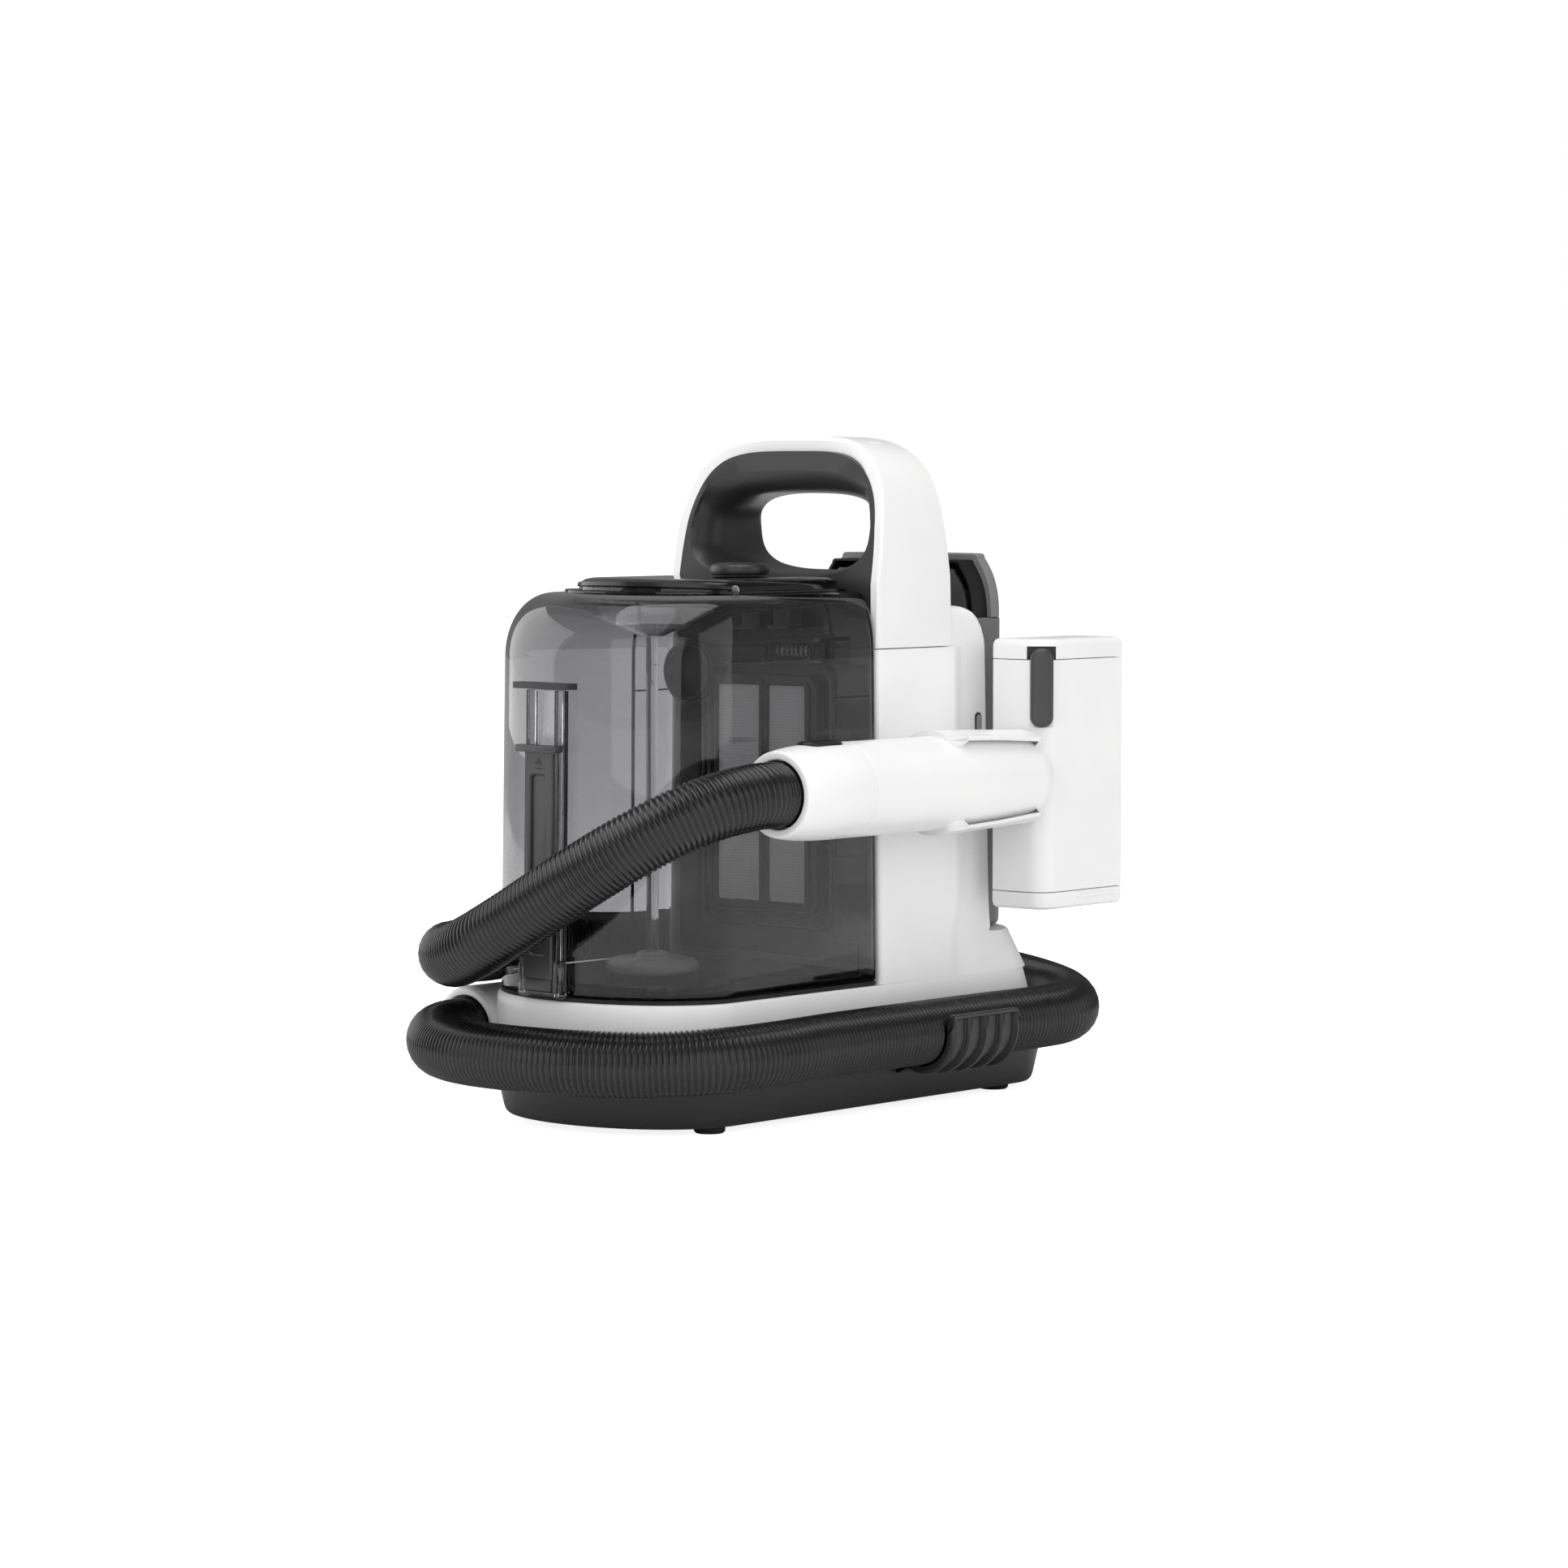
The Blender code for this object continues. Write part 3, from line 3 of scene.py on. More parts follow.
import bmesh
import bpy
import numpy as np
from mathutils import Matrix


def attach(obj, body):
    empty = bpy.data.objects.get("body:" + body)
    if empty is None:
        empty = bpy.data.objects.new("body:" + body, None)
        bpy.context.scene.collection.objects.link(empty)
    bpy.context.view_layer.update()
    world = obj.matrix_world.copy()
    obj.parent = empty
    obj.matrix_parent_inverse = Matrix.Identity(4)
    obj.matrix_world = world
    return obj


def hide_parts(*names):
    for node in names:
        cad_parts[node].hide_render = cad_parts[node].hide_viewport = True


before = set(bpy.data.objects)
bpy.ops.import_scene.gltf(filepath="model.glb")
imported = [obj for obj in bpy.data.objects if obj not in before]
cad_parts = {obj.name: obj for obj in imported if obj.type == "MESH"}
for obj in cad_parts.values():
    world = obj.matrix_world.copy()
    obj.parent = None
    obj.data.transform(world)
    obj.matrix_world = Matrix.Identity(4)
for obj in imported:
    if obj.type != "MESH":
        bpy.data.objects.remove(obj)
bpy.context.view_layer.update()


# ---- View and light
# A long lens at the photograph's place, a white studio room, and soft boxes round the machine.
# The room is white to the lens and through clear plastic, dimmer as light, and dimmest in gloss.

scene = bpy.context.scene


def placed(name, data):
    """A new object in the scene."""
    made = bpy.data.objects.new(name, data)
    scene.collection.objects.link(made)
    return made


lens = bpy.data.cameras.new("studio_lens")
lens.sensor_width, lens.lens = 36.0, 113.4
scene.camera = placed("studio_camera", lens)
scene.camera.location = (1.59325, -1.8423, 0.3135)
scene.camera.rotation_euler = (math.radians(86.33), 0, math.radians(40.75))
scene.view_settings.view_transform = "Standard"


def soft_box(name, place, aim_height, size, watts):
    """A rectangular lamp that faces a point on the machine's upright axis."""
    lamp = bpy.data.lights.new(name, "AREA")
    lamp.shape, lamp.size, lamp.size_y, lamp.energy = "RECTANGLE", size[0], size[1], watts
    gap = np.subtract((0, 0, aim_height), place)
    holder = placed(name, lamp)
    holder.location = place
    tip, turn = math.acos(-gap[2] / np.linalg.norm(gap)), math.atan2(gap[1], gap[0]) - math.pi / 2
    holder.rotation_euler = (tip, 0, turn)


soft_box("box_overhead", (0.1, -0.3, 1.9), 0.1, (1.6, 1.6), 18)
soft_box("box_left", (-1.85, -0.55, 0.8), 0.2, (2.3, 1.5), 16)
soft_box("box_front", (0.95, -2.0, 0.8), 0.2, (2.6, 1.5), 14)
soft_box("box_right", (2.15, 0.45, 0.8), 0.2, (2.2, 1.5), 9.5)


class Shade:
    """One socket of a node tree. Sums, differences and products add their Math nodes."""

    def __init__(self, tree, socket=None):
        self.tree, self.socket = tree, socket

    def add(self, kind, settings=None, output=0, **inputs):
        """A node of a kind: its settings first (stops are a ramp's), then values or links of its inputs."""
        node = self.tree.nodes.new("ShaderNode" + kind)
        for name, value in (settings or {}).items():
            if name != "stops":
                setattr(node, name, value)
                continue
            elements = node.color_ramp.elements
            for number, (position, colour) in enumerate(value):
                element = elements[number] if number < 2 else elements.new(position)
                element.position, element.color = position, colour
        for name, value in inputs.items():
            socket = node.inputs[int(name[1:]) if name[1:].isdigit() else name.replace("_", " ")]
            if isinstance(value, Shade):
                self.tree.links.new(value.socket, socket)
            else:
                socket.default_value = value
        return Shade(self.tree, node.outputs[output] if node.outputs else None)

    def worked(self, operation, first, second):
        return self.add("Math", dict(operation=operation), i0=first, i1=second)

    def __add__(self, other): return self.worked("ADD", self, other)
    def __radd__(self, other): return self.worked("ADD", other, self)
    def __sub__(self, other): return self.worked("SUBTRACT", self, other)
    def __rsub__(self, other): return self.worked("SUBTRACT", other, self)
    def __mul__(self, other): return self.worked("MULTIPLY", self, other)
    def __rmul__(self, other): return self.worked("MULTIPLY", other, self)


def tone(red, green=None, blue=None):
    """A screen colour of 0 to 255 as linear light, ((v + 0.055) / 1.055) to the power 2.4."""
    screen = np.array([red, red if green is None else green, red if blue is None else blue]) / 255
    linear = np.where(screen > 0.04045, ((screen + 0.055) / 1.055) ** 2.4, screen / 12.92)
    return (*linear.tolist(), 1.0)


def noise(start, scale, detail):
    """Soft noise on the piece's own coordinates."""
    return start.add("TexNoise", Vector=start.add("TexCoord", output="Object"), Scale=scale, Detail=detail)


def ramp(start, factor, *stops):
    """A colour ramp over a factor, its stops a position and a colour or a grey tone each."""
    stops = [(position, colour if isinstance(colour, tuple) else tone(colour)) for position, colour in stops]
    return start.add("ValToRGB", dict(stops=stops), Fac=factor)


def bumped(start, height, strength, distance=0.0001):
    """A normal raised by a height."""
    return start.add("Bump", Strength=strength, Distance=distance, Height=height)


def finished(name, recipe, *values):
    """A material whose recipe gives the sockets of one Principled shader, fixed or worked out, and for
    clear plastic how much light a metre of it absorbs."""
    made = bpy.data.materials.new(name)
    made.use_nodes = True
    made.node_tree.nodes.clear()
    start = Shade(made.node_tree)
    sockets = recipe(start, *values)
    depth = sockets.pop("Absorption", None)
    ends = dict(Surface=start.add("BsdfPrincipled", **sockets))
    if depth is not None:
        ends["Volume"] = start.add("VolumeAbsorption", Color=(0, 0, 0, 1), Density=depth)
    start.add("OutputMaterial", **ends)
    return made


def ray(start, kind):
    """1 for light paths of a kind."""
    return start.add("LightPath", output=f"Is {kind} Ray")


def sight(start):
    """1 for paths from the lens, also through clear plastic."""
    return start.worked("MAXIMUM", ray(start, "Camera"), ray(start, "Transmission"))


room = bpy.data.worlds.new("white_room")
room.use_nodes = True
room.node_tree.nodes.clear()
start = Shade(room.node_tree)
strength = 0.54 + 0.46 * sight(start) - 0.34 * ray(start, "Glossy") * (1 - ray(start, "Transmission"))
start.add("OutputWorld", Surface=start.add("Background", Color=(1, 1, 1, 1), Strength=strength))
scene.world = room

# The floor is a wide pale sheet that keeps the machine's soft shadow.

floor_mesh = bpy.data.meshes.new("studio_floor")
floor_mesh.from_pydata([(-9, -9, 0), (9, -9, 0), (9, 9, 0), (-9, 9, 0)], [], [(0, 1, 2, 3)])


def floor_paint(start):
    return dict(Base_Color=(0.9, 0.9, 0.9, 1), Roughness=0.9 + 0.05 * noise(start, 3.0, 2.0),
                Emission_Color=sight(start) * 0.86, Emission_Strength=1.0, Specular_IOR_Level=0.0)


floor_mesh.materials.append(finished("floor_sheet", floor_paint))
studio_floor = placed("studio_floor", floor_mesh)


# ---- Suction hose
# A black corrugated hose of soft plastic, about 31 mm across, with a ridge every 2.65 mm. It runs
# from the port low on the left, round the machine twice, into the wand.

ORIGIN = np.array([1.05, 0.3, 0.0])         # the row frame's zero, on the axes the sizes here use
HOSE_R, RIDGE, GROOVE, RIDGE_STEPS, HOSE_SIDES = 15.6, 2.65, 1.15, 5, 24
ROUTE = np.array([
    (95, -96, 161.3), (95, -111, 161.3), (95, -125, 160.9), (90, -145, 157.3), (78, -162, 149.2),
    (60, -176, 137), (35, -186, 120.6), (10, -190, 105.4), (-15, -190, 92.5), (-40, -181, 84),
    (-58, -168, 82), (-72, -152, 80), (-84, -134, 79), (-91, -112, 77.5), (-94.5, -90, 77.2),
    (-95, -60, 76), (-95, -30, 73.6), (-95, 0, 72), (-95, 34, 72), (-95, 66, 71.6), (-92, 90, 68),
    (-84, 116, 62.5), (-68, 142, 57), (-40, 165, 51.5), (0, 180, 47), (40, 172, 43), (68, 151, 41),
    (86, 123.5, 40), (89, 95, 39.7), (88, 60, 39.7), (88, 20, 39.7), (88, -20, 39.6), (88, -60, 39.4),
    (89.2, -100, 39), (82.5, -134, 38.2), (60, -158, 36.8), (30, -175, 36.9), (0, -180, 36.9),
    (-34, -178, 36.8), (-62, -168, 36.8), (-81, -153.5, 37.5), (-90, -142, 38.6), (-93, -130.5, 39),
    (-93, -109.35, 39)], float)


def smooth_path(knots, step):
    """Points one step apart on the Catmull-Rom curve through the knots."""
    ends = np.vstack([2 * knots[0] - knots[1], knots, 2 * knots[-1] - knots[-2]])
    a, b, c, d = (ends[k:len(ends) - 3 + k, None] for k in range(4))
    t = np.linspace(0, 1, 40, endpoint=False)[None, :, None]
    dense = 0.5 * (2 * b + (c - a) * t + (2 * a - 5 * b + 4 * c - d) * t ** 2
                   + (3 * b - a - 3 * c + d) * t ** 3)
    dense = np.vstack([dense.reshape(-1, 3), knots[-1:]])
    along = np.r_[0, np.cumsum(np.linalg.norm(np.diff(dense, axis=0), axis=1))]
    wanted = np.linspace(0, along[-1], max(2, round(along[-1] / step) + 1))
    return np.stack([np.interp(wanted, along, dense[:, k]) for k in range(3)], 1)


def skin(rings, ends="caps"):
    """Points and faces through rings of equal length: face (i, j) joins points j and j + 1 of rings
    i and i + 1. Ends in caps close in a fan round each end's middle, a loop joins last to first."""
    rings = np.asarray(rings, float)
    rows, count = rings.shape[:2]
    i, j = np.meshgrid(np.arange(rows if ends == "loop" else rows - 1), np.arange(count), indexing="ij")
    after, turn = (i + 1) % rows, (j + 1) % count
    quads = np.stack([i * count + j, i * count + turn, after * count + turn, after * count + j], -1)
    points, faces = rings.reshape(-1, 3), quads.reshape(-1, 4).tolist()
    if ends == "caps":
        j, last = np.arange(count), (rows - 1) * count
        hub = np.full(count, rows * count)
        points = np.vstack([points, rings[0].mean(0), rings[-1].mean(0)])
        faces += np.stack([hub, (j + 1) % count, j], -1).tolist()
        faces += np.stack([hub + 1, last + j, last + (j + 1) % count], -1).tolist()
    return points, faces


def tube(path, radius, sides):
    """Rings round a path: radius times cos a along the level side, sin a along the one above it."""
    ahead = np.gradient(path, axis=0)
    ahead /= np.linalg.norm(ahead, axis=1, keepdims=True)
    side = np.cross(ahead, (0.0, 0.0, 1.0))
    side /= np.linalg.norm(side, axis=1, keepdims=True)
    above = np.cross(side, ahead)
    a = np.linspace(0, 2 * np.pi, sides, endpoint=False)[None, :, None]
    reach = np.broadcast_to(radius, len(path))[:, None, None]
    return skin(path[:, None] + reach * (np.cos(a) * side[:, None] + np.sin(a) * above[:, None]))


def mesh_of(name, surfaces, crease):
    """One mesh of several closed surfaces in millimetres: placed, merged, faces out, smooth but for
    edges sharper than the crease."""
    points, faces, first = [], [], 0
    for some_points, some_faces in surfaces:
        points.append(some_points)
        faces += [[first + corner for corner in face] for face in some_faces]
        first += len(some_points)
    mesh = bpy.data.meshes.new(name)
    mesh.from_pydata(((np.vstack(points) - ORIGIN) * 0.001).tolist(), [], faces)
    shape = bmesh.new()
    shape.from_mesh(mesh)
    bmesh.ops.remove_doubles(shape, verts=shape.verts, dist=2e-6)
    bmesh.ops.recalc_face_normals(shape, faces=shape.faces)
    shape.to_mesh(mesh)
    shape.free()
    mesh.shade_smooth()
    mesh.set_sharp_from_angle(angle=math.radians(crease))
    return mesh


def piece(name, surfaces, paint, body, stands_for=None, crease=38):
    """A finished mesh with its material, its body and the CAD node that it stands for."""
    made = placed(name, mesh_of(name, surfaces, crease))
    made.data.materials.append(paint)
    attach(made, body)
    if stands_for:
        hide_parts(stands_for)
    return made


def hose_paint(start):
    """Glossy black plastic, dull in the grooves and polished on the ridges. Its colour holds painted shade,
    darkest in the grooves, and a painted highlight, palest on the ridges, broken up by scuff noise.
    """
    crest = start.add("Attribute", dict(attribute_name="crest"), output="Fac")
    scuff = noise(start, 70.0, 3.0)
    return dict(Base_Color=ramp(start, crest * (0.75 + 0.5 * scuff), (0.0, 3), (0.55, 9), (1.0, 36)),
                Roughness=0.34 - 0.19 * crest + 0.06 * scuff)


line = smooth_path(ROUTE, RIDGE / RIDGE_STEPS)
crest = np.abs(np.sin(np.pi * (np.arange(len(line)) / RIDGE_STEPS + 0.1))) ** 1.3
hose = piece("suction_hose", [tube(line, HOSE_R - GROOVE * (1 - crest), HOSE_SIDES)],
             finished("hose_black", hose_paint), "machine", "hose", crease=80)
# The crest attribute gives the paint the ridge profile, from which it paints shade into the grooves and a
# highlight onto the ridges.
near = hose.data.attributes.new("crest", "FLOAT", "POINT")
near.data.foreach_set("value", np.r_[np.repeat(crest, HOSE_SIDES), 0, 0][:len(hose.data.vertices)])
centre_line = (smooth_path(ROUTE, 6.0)[::-1] - ORIGIN) * 0.001


# ---- Plinth
# A charcoal tray of moulded plastic under the whole machine, an oval with straight sides, drawn in
# towards the floor. Four rubber feet sit in it, and screws from below hold it to the housing.

def column(*sizes):
    """Sizes as columns, one row per height."""
    return [np.reshape(size, (-1, 1)).astype(float) for size in sizes]


def oval(half, front, rear, front_depth, rear_depth, inset):
    """Straight sides with half an ellipse at the front and rear, all drawn in by the inset."""
    half, front, rear, inset = column(half, front, rear, inset)
    turn = np.linspace(0, np.pi, 29)[None]
    half, front, rear = half - inset, front + inset, rear - inset
    x = np.hstack([-half * np.cos(turn), half * np.cos(turn)])
    y = np.hstack([front + (front_depth - inset) * (1 - np.sin(turn)),
                   rear - (rear_depth - inset) * (1 - np.sin(turn))])
    return np.stack([x, y], -1)


def raised(outlines, heights):
    """Flat outlines, one per height, as rings in space."""
    level = np.broadcast_to(np.reshape(heights, (-1, 1, 1)), outlines.shape[:2] + (1,))
    return np.concatenate([outlines, level], -1)


def charcoal_paint(start, base=46, rough=0.42):
    """Charcoal plastic with a fine spark-eroded grain and slightly uneven gloss."""
    cloud = noise(start, 30.0, 3.0)
    return dict(Base_Color=ramp(start, cloud, (0.3, base - 3), (0.7, base + 3)),
                Roughness=rough - 0.05 + 0.1 * cloud,
                Normal=bumped(start, noise(start, 2600.0, 2.0), 0.15))


charcoal = finished("charcoal_plastic", charcoal_paint)
z = np.array([3.35, 3.6, 4.6, 7.0, 13.0, 19.0, 23.5, 25.0, 25.5])
share = (z - 3.35) / 22.15
inset = np.array([2.6, 1.3, 0.4, 0, 0, 0, 0, 0.25, 0.9])
rings = raised(oval(67.7 + 4.1 * share, -154.5 - 4.1 * share, 155.5 + 3.5 * share, 49.5, 45.5, inset), z)
piece("plinth", [skin(rings)], charcoal, "machine", "base_plinth")


def rubber_paint(start):
    """Matt moulded rubber with a dusty bloom."""
    bloom = noise(start, 140.0, 4.0)
    return dict(Base_Color=ramp(start, bloom, (0.35, 26), (0.75, 44)), Roughness=0.75 + 0.15 * bloom,
                Normal=bumped(start, bloom, 0.2))


def steel_paint(start):
    """Zinc-plated steel with a fine cloudy finish."""
    cloud = noise(start, 260.0, 3.0)
    return dict(Base_Color=ramp(start, cloud, (0.3, 168), (0.7, 196)), Metallic=1.0,
                Roughness=0.25 + 0.2 * cloud)


rubber, steel = finished("foot_rubber", rubber_paint), finished("plated_steel", steel_paint)


def repaint(paint, *names):
    """Gives CAD nodes that stay as they are their material."""
    for name in names:
        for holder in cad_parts[name].material_slots:
            holder.material = paint


repaint(rubber, "foot_front_right", "foot_front_left", "foot_rear_right", "foot_rear_left",
        "power_cable_gland")
repaint(steel, "plinth_screw")


# ---- Main housing
# One white moulding in satin plastic: an oval skirt with a flat deck for the dirty tank, the square
# tower behind it, a narrower rear column with a rounded top, and a low step for the clean tank.

def side_by_side(x, y):
    """Parts of outlines joined end to end, with every part given as many rows as the longest."""
    rows = max(len(part) for part in x + y)
    return [np.hstack([np.broadcast_to(part, (rows, part.shape[1])) for part in side]) for side in (x, y)]


def corner_ring(half_front, half_rear, front, front_corner, rear, rear_corner, waist=(52.0, 64.0)):
    """Ring from the front middle round the right side to the rear middle and back round the left.
    Each corner is a quarter ellipse (across, along), and the side goes from one half width to the
    other over the waist as 3s^2 - 2s^3."""
    wide, narrow, front, fx, fy, rear, rx, ry, from_y, to_y = column(
        half_front, half_rear, front, *front_corner, rear, *rear_corner, *waist)
    a, s = np.linspace(0, np.pi / 2, 16)[None], np.linspace(0, 1, 11)[None]
    ease = 3 * s ** 2 - 2 * s ** 3
    x, y = side_by_side([0 * front, wide - fx + fx * np.sin(a), wide - (wide - narrow) * ease,
                         narrow - rx + rx * np.cos(a), 0 * rear],
                        [front, front + fy - fy * np.cos(a), from_y + (to_y - from_y) * s + 0 * wide,
                         rear - ry + ry * np.sin(a), rear])
    return np.stack([np.hstack([x, -x[:, -2:0:-1]]), np.hstack([y, y[:, -2:0:-1]])], -1)


def white_paint(start):
    """Satin white plastic: a very fine mould grain and the faintest warm and cool clouding."""
    cloud = noise(start, 16.0, 3.0)
    return dict(Base_Color=ramp(start, cloud, (0.3, tone(240, 240, 241)), (0.7, tone(246, 246, 245))),
                Roughness=0.30 + 0.12 * cloud, Coat_Weight=0.12,
                Normal=bumped(start, noise(start, 2200.0, 2.0), 0.06))


white = finished("white_plastic", white_paint)
DECK, DECK_EDGE, STEP, SEAM = 62.3, 1.8, 82.0, 225.2
COLUMN_HALF, COLUMN_BACK, ROUND_TOP, ROUND_EDGE = 62.0, 92.2, 22.0, 5.0

z = np.array([26.1, 26.4, 27.4, 34, 42, 50, 57, 60.6, 61.5, 62.1, DECK])
knots = (26, 34, 50, 62)
half = np.interp(z, knots, (71.6, 70.9, 70.6, 70.1))
skirt = corner_ring(half, half, np.interp(z, knots, (-158.6, -158.4, -158.2, -157.8)), (half, 50),
                    np.interp(z, knots, (158.2, 155, 149.5, 145)), (half, 45))
foot_inset = np.interp(z, (26.1, 27.4), (0.9, 0))[:, None]
edge = DECK_EDGE - np.sqrt(np.maximum(DECK_EDGE ** 2 - np.maximum(z - 60.5, 0) ** 2, 0))
lip_inset = np.where(z > 60, edge, 0)[:, None]
ahead = np.clip(-skirt[..., 1] / 12, 0, 1)
shrink = foot_inset + lip_inset * (3 * ahead ** 2 - 2 * ahead ** 3)
middle = np.array([0.0, -5.0])
skirt -= (skirt - middle) * shrink[..., None] / np.linalg.norm(skirt - middle, axis=-1, keepdims=True)

high = np.array([DECK, 66, 71, 76, 79.4, 81.2, 81.9, STEP, 82.02, 82.6, 84.5, 90, 100, 112, 135, 160, 185,
                 205, 224.4, SEAM])
wide = np.interp(high, (62, 80, 103, 202, 225), (70.1, 69.3, 68.6, 67.2, 67.0))
narrow = np.interp(high, (62, 70, 80, 95, 110, 225), (70.1, 68, 66.2, 65, 64.5, COLUMN_HALF))
back = np.interp(high, (62, 72, 79.4, 81.2, 81.9, STEP, 82.02, 82.6, 84.5, 90),
                 (145, 141, 137, 136, 134.8, 133, 96, 93.9, 92.5, COLUMN_BACK))
across, deep = (np.interp(high, (STEP, 82.02, 84.5), corner) for corner in ((66.4, 10, 4), (42, 8, 4)))
waist = [np.interp(high, (80, 100), ends) for ends in ((52, 58), (64, 72))]
wide[-1] -= 0.5
upright = corner_ring(wide, narrow, 0.0, (3, 3), back, (np.minimum(across, narrow), deep), waist)

phi = np.radians([0, 15, 30, 45, 60, 75, 90])
top = np.unique(np.r_[SEAM, 223 + ROUND_TOP * np.sin(phi), 240 + ROUND_EDGE * np.sin(phi)])
top = top[top >= SEAM]
round_back = COLUMN_BACK - ROUND_TOP + np.sqrt(np.maximum(ROUND_TOP ** 2 - (top - 223) ** 2, 0))
slim = COLUMN_HALF - ROUND_EDGE + np.sqrt(np.maximum(ROUND_EDGE ** 2 - np.maximum(top - 240, 0) ** 2, 0))
crown = corner_ring(slim, slim, 58.8, (3, 3), round_back, (4, np.minimum(4, round_back - 61)), (62, 63))
crown[..., 1] = np.clip(crown[..., 1], 58.8, round_back[:, None])
body = np.vstack([raised(skirt, z), raised(upright, high), raised(crown, top)])
piece("housing_moulding", [skin(body)], white, "machine", "main_housing", crease=32)

# A small slot beside the column's edge is painted on: a dark rim, painted shade in the slot, round a grey
# insert, a painted highlight inside it. The grille low on the left lets the air out.

def stadium(half, reach, steps=12):
    """An upright slot's outline about its middle, drawn in by the inset it is called with."""
    def outline(inset):
        a = np.linspace(0, np.pi, steps)
        r = half - inset
        return np.vstack([np.stack([r * np.cos(a), reach + r * np.sin(a)], 1),
                          np.stack([-r * np.cos(a), -reach - r * np.sin(a)], 1)])
    return outline


def slab(outline, low, high, edge=0.6, facing="Z", at=(0.0, 0.0), steps=4):
    """A plate about a middle with eased edges: its outline drawn in by e(1 - sin a) at e(1 - cos a)
    from each face."""
    a = np.linspace(0, np.pi / 2, steps)
    inset, rise = edge * (1 - np.sin(a)), edge * (1 - np.cos(a))
    flat = np.stack([outline(i) for i in np.r_[inset, inset[::-1]]]) + np.asarray(at)
    level = np.broadcast_to(np.r_[low + rise, high - rise[::-1]][:, None, None], flat.shape[:2] + (1,))
    u, v = flat[..., :1], flat[..., 1:]
    return skin(np.concatenate(dict(Z=(u, v, level), Y=(u, level, v), X=(level, u, v))[facing], -1))


near_black = finished("near_black_plastic", charcoal_paint, 30, 0.36)
SLOT_SIDE = np.interp(184, (110, 225), (64.5, COLUMN_HALF))
for name, half, reach, proud, edge, at, paint in (
        ("rim", 2.5, 4.6, 0.3, 0.1, (83.4, 184.6), near_black),
        ("insert", 1.8, 4.4, 0.34, 0.05, (83.75, 184.4), finished("slot_painted_highlight_grey", charcoal_paint, 150, 0.4))):
    piece("vent_slot_" + name, [slab(stadium(half, reach), SLOT_SIDE - 2, SLOT_SIDE + proud, edge, "X", at)],
          paint, "machine")
repaint(charcoal, "exhaust_grille")

# The dark plate behind the dirty tank fills the window in the tower's front.

def rounded(half_u, half_v, radius, steps=8):
    """A rectangle with round corners about its middle, drawn in by the inset it is called with."""
    def outline(inset):
        r = max(radius - inset, 0.05)
        a = np.linspace(0, np.pi / 2, steps)
        u, v = half_u - inset - r + r * np.cos(a), half_v - inset - r + r * np.sin(a)
        return np.vstack([np.stack(pair, 1) for pair in
                          ((u, v), (-u[::-1], v[::-1]), (-u, -v), (u[::-1], -v[::-1]))])
    return outline


piece("tower_panel", [slab(rounded(60.6, 73.6, 2.5), -0.42, 1.2, 0.3, "Y", (0, 144))],
      finished("panel_plastic", charcoal_paint, 42, 0.4), "machine", "front_panel")


# ---- Handle
# A white arch moulded in one with the tower's top rim, leaning back. Its front edge has a thin
# bright chamfer, and a charcoal liner fills it round the hand hole.

ARCH_HALF, ARCH_FOOT, ARCH_TOP, ARCH_POWER, BAND = 67.6, 240.0, 328.5, 3.9, 5.0


def lean_front(z):
    """How far back the handle's front face lies at a height."""
    return np.interp(z, (225, 258, 288, 302, 317, 323, 328.5), (0, 0, 4.7, 8, 11, 14, 18))


def lean_rear(z):
    """Where the handle's rear face lies at a height."""
    return np.interp(z, (225, 245, 260, 275, 290, 305, 315, 328.5), (58, 57, 56.6, 54.5, 52.5, 51, 49.5, 46))


def arch_size(inset):
    """The arch's half width and rise, drawn in by the inset at the sides and more at the top."""
    return ARCH_HALF - inset, ARCH_TOP - ARCH_FOOT - 1.4 * inset


def band_line(inset):
    """The superellipse |x / half|^p + |z / rise|^p = 1 above the arch's foot, by polar angle, with its
    two straight legs, from the right foot over the top to the left."""
    legs_z = np.array([225.65, 226.2, 230, 235])
    leg = np.interp(legs_z, (225, 240), (67.0, ARCH_HALF)) - inset
    half, rise = arch_size(inset)
    c, s = np.cos(np.linspace(0, np.pi, 97)), np.sin(np.linspace(0, np.pi, 97))
    reach = ((np.abs(c) / half) ** ARCH_POWER + (np.abs(s) / rise) ** ARCH_POWER) ** (-1 / ARCH_POWER)
    return np.vstack([np.stack([leg, legs_z], 1), np.stack([reach * c, ARCH_FOOT + reach * s], -1),
                      np.stack([-leg, legs_z], 1)[::-1]])


outer, inner = band_line(0), band_line(BAND)
across = (inner - outer) / BAND
front, rear = lean_front(outer[:, 1]), lean_rear(outer[:, 1])
a = np.radians([0, 30, 60, 90])
ring = []
for deep, y in ((1.3, front + 0.05), (0, front + 1.3), (0.0, front + 1.9),
                *((2.0 * (1 - c), rear - 2.0 * (1 - s)) for c, s in zip(np.cos(a), np.sin(a))),
                (BAND, rear), (BAND, front), (1.3, front)):
    spot = outer + across * deep
    ring.append(np.stack([spot[:, 0], y, spot[:, 1]], 1))
ring = np.stack(ring, 1)
foot_trim = np.where(outer[:, 1] < 226, 0.4, 0)[:, None] * np.r_[[1] * 7, 0, 0, 0][None]
ring[..., 0] -= np.sign(ring[..., 0]) * foot_trim
piece("handle_arch", [skin(ring)], white, "machine", "handle_housing", crease=28)

# The liner: a flat face leaning with the arch, a crisp crease, then a roll into the hole.

MIDDLE = np.array([0.0, 281.0])


def on_rays(inside, turns):
    """Where each ray from the hole's middle leaves a shape, found by halving the interval 34 times."""
    near, far = np.zeros_like(turns), np.full_like(turns, 160.0)
    aim = np.stack([np.cos(turns), np.sin(turns)], 1)
    for _ in range(34):
        half = (near + far) / 2
        spot = MIDDLE + half[:, None] * aim
        held = inside(spot[:, 0], spot[:, 1])
        near, far = np.where(held, half, near), np.where(held, far, half)
    return MIDDLE + near[:, None] * aim


